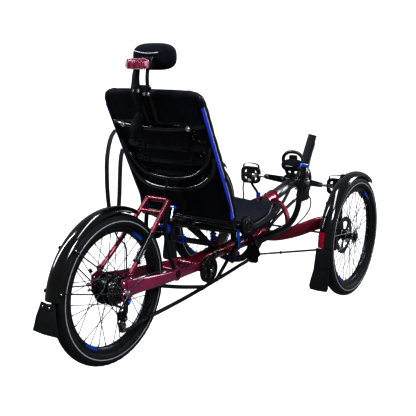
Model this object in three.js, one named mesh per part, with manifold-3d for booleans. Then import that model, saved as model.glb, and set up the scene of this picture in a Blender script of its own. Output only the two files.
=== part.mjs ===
// Tadpole recumbent trike: two steered front wheels, one sprung rear wheel and a reclining mesh seat.
// Units are millimetres. +Z is up, the rider faces -Y and the rider's right is -X.
// Every piece is drawn from the rear wheel's ground contact; the last lines move the whole part
// along Y so that the middle of its box stands over the origin.
import * as THREE from "three";
import { mergeVertices } from "three/addons/utils/BufferGeometryUtils.js";
import Module from "manifold-3d";

const wasm = await Module();
wasm.setup();

// ---------------------------------------------------------------- driving dimensions
const WHEELBASE = 1064;
const HALF_TRACK = 374;
const TYRE_R = 250;
const AXLE_Z = TYRE_R;
const FRONT_Y = -WHEELBASE;
const WHEEL_SIDES = 28;
const SPOKES = 24;
const RIM_SEAT_R = 205.6;
const NIPPLE_R = 184.7;
const GAP = 0.4;

const FENDER_HALF_W = 28;
const DISC_R = 80;

const KINGPIN_X = 300;
const KINGPIN_Z = [278, 334];

const PIVOT_Y = -430;
const PIVOT_Z = 225;
const IDLER = { x: -69, y: -455, z: 208, r: 49 };
const KEEL_R = 25;
const BOOM_R = 25;
const CLAMP_PIN = { y: -1046, z: 334, r: 5 };

const BB_Y = -1262;
const BB_Z = 417;
const CRANK_LENGTH = 149;
const CRANK_ANGLE = Math.atan2(35, 145);
const PEDAL_X = 150;
const ACCESSORY_Y = -1243;

const STEER_Y = -725;
const BOSS_Z = 190;
const STEER_ARM_Z = 180;
const STEER_ARM = [8, -58];

const HINGE_Y = -415;
const HINGE_Z = 405;
const KINK_Z = 461;
const SEAT_TOP = [-222, 858];
const SEAT_HALF_W = 200;

const POST_X = 20;
const POST_R = 6;
const POST_FOOT = [-226, 778];
const POST_NECK = [-178, 895];
const HEADREST_Y = -242;
const HEADREST_Z = 989;
const BOX_CENTRE_Y = -562.75;

// ---------------------------------------------------------------- finishes
const FINISHES = {
  redPaint: { color: 0x7d0f1e, roughness: 0.3, metalness: 0.45 },
  blackPaint: { color: 0x0d0d10, roughness: 0.35, metalness: 0.3 },
  glossPlastic: { color: 0x060608, roughness: 0.15, metalness: 0.0 },
  mattPlastic: { color: 0x141417, roughness: 0.6, metalness: 0.0 },
  rubber: { color: 0x17181a, roughness: 0.85, metalness: 0.0 },
  rim: { color: 0x1a1b1e, roughness: 0.35, metalness: 0.7 },
  steel: { color: 0xb9bcc0, roughness: 0.3, metalness: 1.0 },
  darkSteel: { color: 0x4a4b4f, roughness: 0.4, metalness: 1.0 },
  silver: { color: 0xc8cbd0, roughness: 0.25, metalness: 1.0 },
  blueAnodised: { color: 0x1238c8, roughness: 0.3, metalness: 0.6 },
  blueElastomer: { color: 0x1845d0, roughness: 0.5, metalness: 0.0 },
  meshCloth: { color: 0x101218, roughness: 0.9, metalness: 0.0 },
  navyPad: { color: 0x0d1122, roughness: 0.85, metalness: 0.0 },
  redLens: { color: 0xc01030, roughness: 0.15, metalness: 0.0 },
  webbing: { color: 0x111216, roughness: 0.8, metalness: 0.0 },
  gripRubber: { color: 0x2a2b2f, roughness: 0.8, metalness: 0.0 },
};

// ---------------------------------------------------------------- solids
const v = (x, y, z) => new THREE.Vector3(x, y, z);

/** A closed manifold from any closed three.js geometry, turned so that its faces look outward. */
function solid(geometry) {
  const bare = geometry.clone();
  bare.deleteAttribute("normal");
  bare.deleteAttribute("uv");
  const merged = mergeVertices(bare, 1e-4);
  const source = merged.index.array;
  const triangles = [];
  for (let i = 0; i < source.length; i += 3) {
    const [a, b, c] = [source[i], source[i + 1], source[i + 2]];
    if (a !== b && b !== c && c !== a) triangles.push(a, b, c);
  }
  const build = (list) => new wasm.Manifold(new wasm.Mesh({
    numProp: 3,
    vertProperties: new Float32Array(merged.attributes.position.array),
    triVerts: new Uint32Array(list),
  }));
  const first = build(triangles);
  if (first.volume() > 0) return first;
  return build(triangles.reverse());
}

const join = (...pieces) => pieces.flat().reduce((whole, piece) => whole.add(piece));
const mirrored = (piece) => piece.mirror([1, 0, 0]);
const bothSides = (piece) => piece.add(mirrored(piece));

/** A regular polygon as a closed outline; the half step puts a flat side down. */
function polygon(radius, sides) {
  const points = [];
  for (let i = 0; i < sides; i += 1) {
    const angle = ((i + 0.5) / sides) * 2 * Math.PI;
    points.push(new THREE.Vector2(radius * Math.cos(angle), radius * Math.sin(angle)));
  }
  return points;
}

/** A round rod through the points: straight for two points, otherwise smoothly curved. */
function rod(points, radius, { sides = 8, steps = 4 * (points.length - 1) } = {}) {
  const straight = points.length === 2;
  const path = straight ? new THREE.LineCurve3(...points) : new THREE.CatmullRomCurve3(points, false,
    "centripetal");
  const shape = new THREE.Shape(polygon(radius, sides));
  return solid(new THREE.ExtrudeGeometry(shape, { steps: straight ? 1 : steps, extrudePath: path }));
}

/** A solid of revolution about an X axle at (y, z); the profile lists [radius, x] pairs. */
function turned(profile, y, z, sides, { closed = false, turn = 0.5 } = {}) {
  const points = profile.map(([radius, x]) => new THREE.Vector2(radius, x));
  if (closed) points.push(points[0].clone());
  const geometry = new THREE.LatheGeometry(points, sides, (turn / sides) * 2 * Math.PI);
  geometry.rotateZ(-Math.PI / 2);
  geometry.translate(0, y, z);
  return solid(geometry);
}

/** A round bar along X from x0 to x1. */
function bar(x0, x1, y, z, radius, sides = 12) {
  return turned([[0, x0], [radius, x0], [radius, x1], [0, x1]], y, z, sides);
}

/** A rectangular block between two corners. */
function block(low, high) {
  const geometry = new THREE.BoxGeometry(high[0] - low[0], high[1] - low[1], high[2] - low[2]);
  geometry.translate((low[0] + high[0]) / 2, (low[1] + high[1]) / 2, (low[2] + high[2]) / 2);
  return solid(geometry);
}

/** A closed skin through rings that all have the same number of points. */
function loft(rings) {
  const count = rings[0].length;
  const positions = rings.flat().flatMap((p) => [p.x, p.y, p.z]);
  const index = [];
  for (let r = 0; r + 1 < rings.length; r += 1) {
    for (let i = 0; i < count; i += 1) {
      const next = (i + 1) % count;
      const a = r * count + i;
      const b = r * count + next;
      index.push(a, b, b + count, a, b + count, a + count);
    }
  }
  const last = (rings.length - 1) * count;
  const flat = THREE.ShapeUtils.triangulateShape(flatten(rings[0]), []);
  for (const [a, b, c] of flat) {
    index.push(c, b, a);
    index.push(last + a, last + b, last + c);
  }
  const geometry = new THREE.BufferGeometry();
  geometry.setAttribute("position", new THREE.Float32BufferAttribute(positions, 3));
  geometry.setIndex(index);
  return solid(geometry);
}

/** The ring seen along its own normal, wound anticlockwise, so that its cap can be triangulated. */
function flatten(ring) {
  const normal = new THREE.Vector3();
  ring.forEach((p, i) => normal.add(p.clone().cross(ring[(i + 1) % ring.length])));
  normal.normalize();
  const across = ring[1].clone().sub(ring[0]).normalize();
  const up = normal.clone().cross(across);
  return ring.map((p) => new THREE.Vector2(p.dot(across), p.dot(up)));
}

/** A box-section beam along a path; each stop is {at, width, height}, width across and height up. */
function beam(stops) {
  const rings = stops.map(({ at, width, height }, i) => {
    const before = stops[Math.max(i - 1, 0)].at;
    const after = stops[Math.min(i + 1, stops.length - 1)].at;
    const along = after.clone().sub(before).normalize();
    const side = along.clone().cross(v(0, 0, 1)).normalize().multiplyScalar(width / 2);
    const up = side.clone().cross(along).normalize().multiplyScalar(height / 2);
    const bevel = 0.55;
    const corners = [[1, bevel], [bevel, 1], [-bevel, 1], [-1, bevel], [-1, -bevel], [-bevel, -1],
      [bevel, -1], [1, -bevel]];
    return corners.map(([s, u]) => at.clone().addScaledVector(side, s).addScaledVector(up, u));
  });
  return loft(rings);
}

/** A flat plate from x0 to x1 whose outline lists [y, z] pairs. */
function plate(outline, x0, x1) {
  const ringAt = (x) => outline.map(([y, z]) => v(x, y, z));
  return loft([ringAt(x0), ringAt(x1)]);
}

/** A sheet of even thickness over a grid of points, thickened along the given direction. */
function sheet(rows, offset) {
  const rings = rows.map((row) => [...row, ...row.map((p) => p.clone().add(offset)).reverse()]);
  return loft(rings);
}

function node(name, shape, finish) {
  const mesh = shape.getMesh();
  const geometry = new THREE.BufferGeometry();
  const positions = [];
  for (let i = 0; i < mesh.numVert; i += 1) {
    const start = i * mesh.numProp;
    positions.push(mesh.vertProperties[start], mesh.vertProperties[start + 1],
      mesh.vertProperties[start + 2]);
  }
  geometry.setAttribute("position", new THREE.Float32BufferAttribute(positions, 3));
  geometry.setIndex(Array.from(mesh.triVerts));
  geometry.translate(0, -BOX_CENTRE_Y, 0);
  geometry.computeVertexNormals();
  const piece = new THREE.Mesh(geometry, new THREE.MeshStandardMaterial(FINISHES[finish]));
  piece.name = name;
  group.add(piece);
}

const group = new THREE.Group();
group.name = "recumbent_trike";

// ---------------------------------------------------------------- wheels
function tyre(x, y) {
  const half = [[206, 14], [225, 23], [241, 20], [TYRE_R, 10]];
  const profile = [...half.map(([r, w]) => [r, x - w]), ...half.map(([r, w]) => [r, x + w]).reverse()];
  const flatFacet = 1 / Math.cos(Math.PI / WHEEL_SIDES);
  const widened = profile.map(([r, w]) => [r * flatFacet, w]);
  return turned(widened, y, AXLE_Z, WHEEL_SIDES, { closed: true });
}

function rim(x, y) {
  const profile = [[RIM_SEAT_R, x - 13], [RIM_SEAT_R, x + 13], [188, x + 8], [188, x - 8]];
  return turned(profile, y, AXLE_Z, WHEEL_SIDES, { closed: true });
}

/** Spokes from two flange rings to one nipple ring, all one piece; each enters a flat side of its rings. */
function spokes(x, y, flangeR, flangeX) {
  const ring = (radius, depth, at, width, sides, turn) => turned(
    [[radius - depth, at - width], [radius, at - width], [radius, at + width], [radius - depth, at + width]],
    y, AXLE_Z, sides, { closed: true, turn },
  );
  const lacing = 45 * THREE.MathUtils.DEG2RAD;
  const onCircle = (radius, angle, at) => v(at, y + radius * Math.sin(angle),
    AXLE_Z + radius * Math.cos(angle));
  const wires = [];
  for (let i = 0; i < SPOKES; i += 1) {
    const rimAngle = (i / SPOKES) * 2 * Math.PI;
    const lean = i % 2 === 0 ? lacing : -lacing;
    const hubEnd = onCircle(flangeR - 4.5, rimAngle + lean, flangeX[i % 2]);
    const rimEnd = onCircle(NIPPLE_R - 1.6, rimAngle, x);
    wires.push(rod([hubEnd, rimEnd], 1.3, { sides: 3 }));
  }
  const nippleRing = ring(NIPPLE_R + 1.6, 5, x, 4, SPOKES, 0.5);
  const flanges = flangeX.map((at, i) => ring(flangeR, 7.6, at, 2.4, SPOKES / 2, i === 0 ? 0 : 0.5));
  return join(nippleRing, flanges, wires);
}

function rearHub() {
  const profile = [[0, -60], [8, -60], [8, -22], [40, -22], [43.4, -18], [43.4, 34], [40, 38], [18, 38],
    [14, 60], [0, 60]];
  return turned(profile, 0, AXLE_Z, 16);
}

/** Front hub for the +X wheel: the flanges sit between the brake disc and the outer cap. */
function frontHub() {
  const profile = [[0, 334], [12, 334], [12, 347], [19, 350], [19, 396], [15, 400], [0, 400]];
  return turned(profile, FRONT_Y, AXLE_Z, 16);
}

/** Brake disc for the +X wheel, with five windows between its hub carrier and its rubbing ring. */
function brakeDisc() {
  const [inner, outer] = [340.5, 342.5];
  const band = turned([[12.4, inner], [DISC_R, inner], [DISC_R, outer], [12.4, outer]],
    FRONT_Y, AXLE_Z, 25, { closed: true });
  const windows = [];
  for (let i = 0; i < 5; i += 1) {
    const corner = (radius, turn) => {
      const angle = ((i + turn) / 5) * 2 * Math.PI;
      return [FRONT_Y + radius * Math.sin(angle), AXLE_Z + radius * Math.cos(angle)];
    };
    const outline = [corner(28, 0.1), corner(60, 0.2), corner(60, 0.85), corner(28, 0.65)];
    windows.push(plate(outline, inner - 1, outer + 1));
  }
  return windows.reduce((disc, window) => disc.subtract(window), band);
}

node("rear_tyre", tyre(0, 0), "rubber");
node("rear_rim", rim(0, 0), "rim");
node("rear_spokes", spokes(0, 0, 53, [-13, 28]), "steel");
node("rear_hub", rearHub(), "mattPlastic");

const frontWheel = {
  tyre: [tyre(HALF_TRACK, FRONT_Y), "rubber"],
  rim: [rim(HALF_TRACK, FRONT_Y), "rim"],
  spokes: [spokes(HALF_TRACK, FRONT_Y, 28, [355, 391]), "steel"],
  hub: [frontHub(), "blackPaint"],
};
for (const [piece, [shape, finish]] of Object.entries(frontWheel)) {
  node(`front_${piece}_left`, shape, finish);
  node(`front_${piece}_right`, mirrored(shape), finish);
}
node("brake_disc_left", brakeDisc(), "steel");
node("brake_disc_right", mirrored(brakeDisc()), "steel");

// ---------------------------------------------------------------- fenders
/** A channel-section fender round a wheel; angles run from straight up, positive to the rear. */
function fender(x, y, fromDegrees, toDegrees, steps) {
  const outer = [[-FENDER_HALF_W, 257], [-20, 268], [0, 273], [20, 268], [FENDER_HALF_W, 257]];
  const inner = [[25, 256.5], [18, 265], [0, 269], [-18, 265], [-25, 256.5]];
  const rings = [];
  for (let i = 0; i <= steps; i += 1) {
    const angle = THREE.MathUtils.degToRad(fromDegrees + ((toDegrees - fromDegrees) * i) / steps);
    const place = ([w, r]) => v(x + w, y + r * Math.sin(angle), AXLE_Z + r * Math.cos(angle));
    rings.push([...outer, ...inner].map(place));
  }
  return loft(rings);
}

/** A rubber flap that flares as it hangs; each stop is {y, z, halfWidth} and may shift inward. */
function mudflap(x, stops) {
  const thickness = 3;
  return loft(stops.map(({ y, z, halfWidth, inward = 0 }) => {
    const middle = x - inward;
    const left = middle - halfWidth;
    const right = middle + halfWidth;
    return [
      v(left, y, z), v(middle, y + 5, z), v(right, y, z),
      v(right, y + thickness, z), v(middle, y + 5 + thickness, z), v(left, y + thickness, z),
    ];
  }));
}

/** Wire stay from the dropout out beside the tyre and over to the fender's edge at the given angle. */
function rearFenderStay(degrees) {
  const angle = THREE.MathUtils.degToRad(degrees);
  const at = (x, radius) => v(x, radius * Math.sin(angle), AXLE_Z + radius * Math.cos(angle));
  return rod([at(71, 24), at(56, 150), at(FENDER_HALF_W - 1.5, 258)], 2.2, { sides: 6, steps: 4 });
}

const rearFender = join(
  fender(0, 0, -28, 82, 12),
  bothSides(rearFenderStay(46)),
  bothSides(rearFenderStay(76)),
);
node("rear_fender", rearFender, "glossPlastic");
node("rear_mudflap", mudflap(0, [
  { y: 272, z: 282, halfWidth: 28 },
  { y: 280, z: 240, halfWidth: 42 },
  { y: 286, z: 196, halfWidth: 52 },
]), "rubber");

const frontFender = join(
  fender(HALF_TRACK, FRONT_Y, -42, 88, 12),
  rod([v(333, FRONT_Y + 12, 345), v(334, FRONT_Y + 30, 430), v(336, FRONT_Y + 45, 495),
    v(354, FRONT_Y + 52, 514)], 5,
    { sides: 6, steps: 6 }),
);
const frontFlap = mudflap(HALF_TRACK, [
  { y: FRONT_Y + 271, z: 252, halfWidth: 28 },
  { y: FRONT_Y + 276, z: 170, halfWidth: 32, inward: 3 },
  { y: FRONT_Y + 282, z: 110, halfWidth: 41, inward: 8 },
  { y: FRONT_Y + 284, z: 92, halfWidth: 36, inward: 8 },
]);
node("front_fender_left", frontFender, "glossPlastic");
node("front_fender_right", mirrored(frontFender), "glossPlastic");
node("front_mudflap_left", frontFlap, "rubber");
node("front_mudflap_right", mirrored(frontFlap), "rubber");

// ---------------------------------------------------------------- main frame
function mainFrame() {
  const keel = rod([
    v(0, PIVOT_Y - 4, 228), v(0, -560, 232), v(0, -760, 228), v(0, -900, 232), v(0, -975, 262),
    v(0, -1012, 318),
    v(0, -1020, 350),
  ], KEEL_R, { sides: 10, steps: 9 });
  const pivotTube = bar(-38, 38, PIVOT_Y, PIVOT_Z, 18);
  const idlerStub = bar(-60, 0, IDLER.y, IDLER.z, 7, 8);
  const boomSleeve = rod([v(0, -985, 362), v(0, -1062, 377.6)], BOOM_R + 6, { sides: 12 });
  const boomBore = rod([v(0, -990, 363), v(0, -1070, 379.2)], BOOM_R + GAP + 0.6, { sides: 12 });
  const earOutline = [[-1056, 352], [-1056, 326], [-1036, 326], [-1036, 350]];
  const ear = plate(earOutline, 11, 19).subtract(bar(0, 30, CLAMP_PIN.y, CLAMP_PIN.z, CLAMP_PIN.r + 0.6, 10));
  const crossArm = beam([
    { at: v(0, -952, 226), width: 34, height: 44 },
    { at: v(70, -962, 230), width: 34, height: 46 },
    { at: v(150, -990, 254), width: 32, height: 50 },
    { at: v(230, -1030, 290), width: 30, height: 52 },
    { at: v(292, FRONT_Y, 306), width: 26, height: 50 },
  ]);
  const kingpinHousing = rod([v(KINGPIN_X, FRONT_Y, KINGPIN_Z[0]), v(KINGPIN_X, FRONT_Y, KINGPIN_Z[1])],
    15, { sides: 10 });
  const archBrace = rod([
    v(118, -985, 262), v(102, -1000, 322), v(66, -1006, 362), v(0, -1010, 378),
    v(-66, -1006, 362), v(-102, -1000, 322), v(-118, -985, 262),
  ], 8, { steps: 10, sides: 6 });
  const seatPost = rod([v(0, -610, 240), v(0, -604, 288)], 15, { sides: 10 });
  const steeringBoss = rod([v(0, STEER_Y, BOSS_Z), v(0, STEER_Y, 215)], 17, { sides: 8 });
  return join(
    keel, pivotTube, idlerStub, seatPost, steeringBoss, archBrace, bothSides(join(crossArm,
      kingpinHousing, ear)),
    boomSleeve,
  ).subtract(boomBore);
}

function boom() {
  const tube = rod([v(0, -996, 364.2), v(0, -1250, 415)], BOOM_R, { sides: 12 });
  const shell = bar(-38, 38, BB_Y, BB_Z, 22, 16);
  const axleBore = bar(-60, 60, BB_Y, BB_Z, 12.6, 16);
  const accessoryPost = rod([v(0, ACCESSORY_Y, 420), v(0, ACCESSORY_Y, 442)], 9);
  return join(tube, shell, accessoryPost).subtract(axleBore);
}

/** Rounded accessory pod on the end of the boom, inside an upright guard loop. */
function accessoryLoop() {
  const half = [[26, 452], [33, 480], [49, 512], [46, 534], [26, 551]];
  const right = half.map(([x, z]) => v(x, ACCESSORY_Y, z));
  const left = [...half].reverse().map(([x, z]) => v(-x, ACCESSORY_Y, z));
  const path = new THREE.CatmullRomCurve3([v(0, ACCESSORY_Y, 448), ...right, v(0, ACCESSORY_Y, 555),
    ...left], true);
  const loop = solid(new THREE.ExtrudeGeometry(new THREE.Shape(polygon(6, 6)),
    { steps: 16, extrudePath: path }));
  const pod = new THREE.SphereGeometry(1, 12, 6);
  pod.scale(42, 28, 27);
  pod.translate(0, ACCESSORY_Y + 4, 499);
  const foot = rod([v(0, ACCESSORY_Y, 442 + GAP), v(0, ACCESSORY_Y, 476)], 9);
  return join(loop, solid(pod), foot);
}

node("main_frame", mainFrame(), "redPaint");
node("boom", boom(), "blackPaint");
node("accessory_loop", accessoryLoop(), "navyPad");

/** Quick-release lever that clamps the boom sleeve; its pin lies along X under the sleeve. */
function boomLever() {
  const { y, z, r } = CLAMP_PIN;
  const arm = beam([
    { at: v(30, y, z), width: 8, height: 14 },
    { at: v(33, y + 28, z + 12), width: 7, height: 16 },
    { at: v(35, y + 56, z + 18), width: 6, height: 14 },
  ]);
  return join(bar(-26, 26, y, z, r, 8), bar(24, 34, y, z, 9), arm);
}
node("boom_lever", boomLever(), "blueAnodised");

// ---------------------------------------------------------------- front suspension uprights
/** Upright for the +X wheel: clevis round the kingpin housing, stub axle, steering arms and caliper. */
function knuckle() {
  const [bottom, top] = [KINGPIN_Z[0] - GAP, KINGPIN_Z[1] + GAP];
  const lowerBlock = rod([v(KINGPIN_X, FRONT_Y, 236), v(KINGPIN_X, FRONT_Y, bottom)], 15, { sides: 8 });
  const topCap = rod([v(KINGPIN_X, FRONT_Y, top), v(KINGPIN_X, FRONT_Y, top + 9)], 15, { sides: 8 });
  const bolt = rod([v(KINGPIN_X, FRONT_Y, top + 8), v(KINGPIN_X, FRONT_Y, top + 15)], 8, { sides: 6 });
  const web = block([316, FRONT_Y - 13, 236], [328, FRONT_Y + 16, top + 9]);
  const shelves = [
    block([KINGPIN_X, FRONT_Y - 11, 240], [326, FRONT_Y + 11, bottom]),
    block([KINGPIN_X, FRONT_Y - 11, top], [326, FRONT_Y + 11, top + 9]),
  ];
  const stub = bar(326, 333.6, FRONT_Y, AXLE_Z, 13);
  const fenderFoot = rod([v(322, FRONT_Y + 12, 338), v(329.4, FRONT_Y + 12, 341)], 7, { sides: 8 });
  const caliperArm = beam([
    { at: v(322, FRONT_Y + 10, 292), width: 12, height: 12 },
    { at: v(326, FRONT_Y + 48, 306), width: 12, height: 12 },
  ]);
  const caliper = block([320, FRONT_Y + 40, 286], [348, FRONT_Y + 82, 318]);
  const discSlot = block([338.6, FRONT_Y + 20, 270], [344.4, FRONT_Y + 79, 330]);
  return join(lowerBlock, topCap, bolt, web, shelves, stub, fenderFoot, caliperArm,
    caliper).subtract(discSlot);
}

/** Flat steering arm from a kingpin at (x, y), ending in a ball-joint boss at the given offset. */
function steeringArm(x, y, offset, z) {
  const end = [x + offset[0], y + offset[1]];
  return join(
    beam([
      { at: v(x, y, z), width: 18, height: 8 },
      { at: v(end[0], end[1], z), width: 12, height: 8 },
    ]),
    rod([v(end[0], end[1], z - BALL_JOINT), v(end[0], end[1], z + BALL_JOINT)], 8),
  );
}

const TRACK_ARM = [0, -52];
const TRACK_Z = 240;
const BALL_JOINT = 5;
const knuckleFoot = rod([v(-KINGPIN_X, FRONT_Y, STEER_ARM_Z - 4), v(-KINGPIN_X, FRONT_Y, 240)], 9);

const knuckleLeft = join(knuckle(), steeringArm(KINGPIN_X, FRONT_Y, TRACK_ARM, TRACK_Z));
const knuckleRight = join(
  mirrored(knuckle()),
  steeringArm(-KINGPIN_X, FRONT_Y, TRACK_ARM, TRACK_Z),
  knuckleFoot,
  steeringArm(-KINGPIN_X, FRONT_Y, STEER_ARM, STEER_ARM_Z),
);
node("knuckle_left", knuckleLeft, "blackPaint");
node("knuckle_right", knuckleRight, "blackPaint");

/** Rod between two ball joints, hung below the steering arms' bosses. */
function tieRod(from, to, radius) {
  const eye = (p) => rod([v(p.x, p.y, p.z - BALL_JOINT), v(p.x, p.y, p.z + BALL_JOINT)], 8);
  return join(eye(from), eye(to), rod([from, to], radius));
}
const trackBelow = TRACK_Z - 2 * BALL_JOINT - GAP;
const dragBelow = STEER_ARM_Z - 2 * BALL_JOINT - GAP;
node("track_rod", tieRod(
  v(-KINGPIN_X + TRACK_ARM[0], FRONT_Y + TRACK_ARM[1], trackBelow),
  v(KINGPIN_X + TRACK_ARM[0], FRONT_Y + TRACK_ARM[1], trackBelow),
  4.5,
), "blackPaint");
node("drag_link", tieRod(
  v(STEER_ARM[0], STEER_Y + STEER_ARM[1], dragBelow),
  v(-KINGPIN_X + STEER_ARM[0], FRONT_Y + STEER_ARM[1], dragBelow),
  4,
), "blackPaint");

// ---------------------------------------------------------------- handlebar
const GRIP_FOOT = v(333, -694, 598);
const GRIP_TOP = v(350, -722, 706);

function handlebar() {
  const half = [
    v(0, STEER_Y, 172), v(55, -712, 192), v(150, -680, 284), v(222, -680, 326), v(287, -680, 372),
    v(316, -680, 428),
    v(324, -682, 500), GRIP_FOOT,
  ];
  const sweep = [...half.slice(1).reverse().map((p) => v(-p.x, p.y, p.z)), ...half];
  const tube = rod(sweep, 11, { sides: 8, steps: 24 });
  const pivot = rod([v(0, STEER_Y, 160), v(0, STEER_Y, BOSS_Z - GAP)], 15, { sides: 8 });
  const arm = steeringArm(0, STEER_Y, STEER_ARM, STEER_ARM_Z);
  const leverBody = join(
    block([309, -722, 548], [341, -672, 574]),
    rod([v(325, -704, 552), v(325, -722, 560)], 9),
  );
  return join(tube, pivot, arm, bothSides(leverBody));
}
node("handlebar", handlebar(), "blackPaint");

const gripAxis = GRIP_TOP.clone().sub(GRIP_FOOT).normalize();
const grip = rod([GRIP_FOOT.clone().addScaledVector(gripAxis, 3), GRIP_TOP], 16.5, { sides: 12 });
node("grip_left", grip, "gripRubber");
node("grip_right", mirrored(grip), "gripRubber");

/** Brake lever ahead of the grip, pivoting on the front of the lever body. */
const brakeLever = join(
  bar(316, 334, -732, 563, 7),
  beam([
    { at: v(325, -733, 566), width: 10, height: 11 },
    { at: v(328, -745, 610), width: 9, height: 10 },
    { at: v(338, -757, 668), width: 9, height: 12 },
  ]),
);
node("brake_lever_left", brakeLever, "silver");
node("brake_lever_right", mirrored(brakeLever), "silver");

// ---------------------------------------------------------------- cranks and pedals
const crankEnd = (side) => [
  BB_Y + side * CRANK_LENGTH * Math.cos(CRANK_ANGLE),
  BB_Z + side * CRANK_LENGTH * Math.sin(CRANK_ANGLE),
];

/** The outline of a crank arm, tapering from the axle to the pedal eye. */
function crankArm(side) {
  const [y, z] = crankEnd(side);
  const along = [side * Math.cos(CRANK_ANGLE), side * Math.sin(CRANK_ANGLE)];
  const across = [-along[1], along[0]];
  const corner = (from, a, c) => [from[0] + a * along[0] + c * across[0],
    from[1] + a * along[1] + c * across[1]];
  const outline = [
    corner([BB_Y, BB_Z], -16, 10), corner([BB_Y, BB_Z], -16, -10), corner([BB_Y, BB_Z], 0, -15),
    corner([y, z], 2, -11),
    corner([y, z], 13, 0), corner([y, z], 2, 11), corner([BB_Y, BB_Z], 0, 15),
  ];
  return plate(outline, side * 60, side * 73);
}
const crankset = join(crankArm(1), crankArm(-1), bar(-64, 64, BB_Y, BB_Z, 12, 12));
node("crankset", crankset, "blackPaint");

const CHAINRING_X = -48;
const CHAINRING_R = 64;
function chainring() {
  const disc = (r0, r1, half) => turned(
    [[r0, CHAINRING_X - half], [r1, CHAINRING_X - half], [r1, CHAINRING_X + half], [r0, CHAINRING_X + half]],
    BB_Y, BB_Z, 25, { closed: true },
  );
  const windows = [];
  for (let i = 0; i < 5; i += 1) {
    const at = (radius, turn) => {
      const angle = ((i + turn) / 5) * 2 * Math.PI;
      return [BB_Y + radius * Math.sin(angle), BB_Z + radius * Math.cos(angle)];
    };
    windows.push(plate([at(27, 0.15), at(53, 0.12), at(53, 0.88), at(27, 0.85)],
      CHAINRING_X - 9, CHAINRING_X + 9));
  }
  const ring = join(disc(12.4, CHAINRING_R, 1.5), disc(12.4, 22, 7));
  return windows.reduce((whole, window) => whole.subtract(window), ring);
}
node("chainring", chainring(), "darkSteel");

/** Cage pedal on the +X or -X side, its tread facing the rider: axle, centre block and open cage. */
function pedal(side) {
  const [y, z] = crankEnd(side);
  const box = (x0, x1, halfDepth, halfHeight) => {
    const [low, high] = [side * x0, side * x1].sort((p, q) => p - q);
    return block([low, y - halfDepth, z - halfHeight], [high, y + halfDepth, z + halfHeight]);
  };
  const cage = box(PEDAL_X - 48, PEDAL_X + 48, 11, 38)
    .subtract(box(PEDAL_X - 44, PEDAL_X - 14, 20, 34))
    .subtract(box(PEDAL_X + 14, PEDAL_X + 44, 20, 34));
  const [inner, outer] = [side * 73.4, side * 196].sort((p, q) => p - q);
  return join(cage, bar(inner, outer, y, z, 7, 8));
}
node("pedal_left", pedal(1), "mattPlastic");
node("pedal_right", pedal(-1), "mattPlastic");

// ---------------------------------------------------------------- drivetrain
const cassetteProfile = [[9, -24.5], [46, -24.5], [46, -28], [38, -36], [29, -46], [22, -56], [9, -56]];
node("cassette", turned(cassetteProfile, 0, AXLE_Z, 20, { closed: true }), "steel");

function idler() {
  const { x, y, z, r } = IDLER;
  const wheel = turned(
    [[0, x - 8], [r, x - 8], [r, x - 5], [r - 7, x - 4], [r - 7, x + 4], [r, x + 5], [r, x + 8.2],
    [0, x + 8.2]], y, z, 20,
  );
  return join(wheel, bar(x - 13, x - 7, y, z, 11, 8));
}
node("idler", idler(), "mattPlastic");

const TUBE_R = 7;
node("chain_tube_power_rear", rod([
  v(-45, -95, 251), v(-46, -200, 214), v(-52, -300, 182), v(-69, -415, 152.5),
], TUBE_R, { sides: 6, steps: 7 }), "mattPlastic");
node("chain_tube_power_front", rod([
  v(-69, -505, 154), v(-70, -600, 226), v(-72, -690, 286), v(-68, -830, 301), v(-60, -960, 312),
  v(-52, -1080, 374), v(-50, -1150, 432),
], TUBE_R, { sides: 6, steps: 13 }), "mattPlastic");
node("chain_tube_return_rear", rod([
  v(-51, -120, 126), v(-52, -280, 130), v(-52, -436, 138),
], TUBE_R, { sides: 6, steps: 4 }), "mattPlastic");
node("chain_tube_return_front", rod([
  v(-52, -446, 139), v(-52, -600, 150), v(-52, -700, 159), v(-52, -765, 165), v(-52, -838, 194),
  v(-52, -890, 232),
  v(-52, -960, 280), v(-52, -1080, 322), v(-50, -1165, 344),
], TUBE_R, { sides: 6, steps: 15 }), "mattPlastic");

/** Points round a sprocket in the plane x, between two angles from straight up toward the rear. */
function wrap(x, y, z, radius, from, to, count) {
  return Array.from({ length: count }, (_, i) => {
    const angle = THREE.MathUtils.degToRad(from + ((to - from) * i) / (count - 1));
    return [x, y + radius * Math.sin(angle), z + radius * Math.cos(angle)];
  });
}

/** A flat band bent in the YZ plane: width along X, depth across the path. */
function planarBand(path) {
  const half = 3;
  const rings = path.map(([x, y, z], i) => {
    const before = path[Math.max(i - 1, 0)];
    const after = path[Math.min(i + 1, path.length - 1)];
    const along = new THREE.Vector2(after[1] - before[1], after[2] - before[2]).normalize();
    const [ny, nz] = [-along.y * half, along.x * half];
    return [v(x - half, y + ny, z + nz), v(x + half, y + ny, z + nz), v(x + half, y - ny, z - nz),
      v(x - half, y - ny, z - nz)];
  });
  return loft(rings);
}

node("chain_front", planarBand([
  [-50, -1150.6, 433],
  ...wrap(CHAINRING_X, BB_Y, BB_Z, CHAINRING_R + 4, 30, -200, 16),
  [-50, -1166, 344.6],
]), "darkSteel");

const JOCKEY_TOP = { y: 16, z: 176 };
const JOCKEY_LOW = { y: 6, z: 134 };
const JOCKEY_R = 13;
node("chain_rear", planarBand([
  [-45, -94.4, 251.6],
  ...wrap(-46, 0, AXLE_Z, 50, -25, 172, 12),
  ...wrap(-51, JOCKEY_TOP.y, JOCKEY_TOP.z, JOCKEY_R + 4, -25, -130, 5),
  ...wrap(-51, JOCKEY_LOW.y, JOCKEY_LOW.z, JOCKEY_R + 4, 60, 185, 6),
  [-51, -119.4, 126],
]), "darkSteel");

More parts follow.
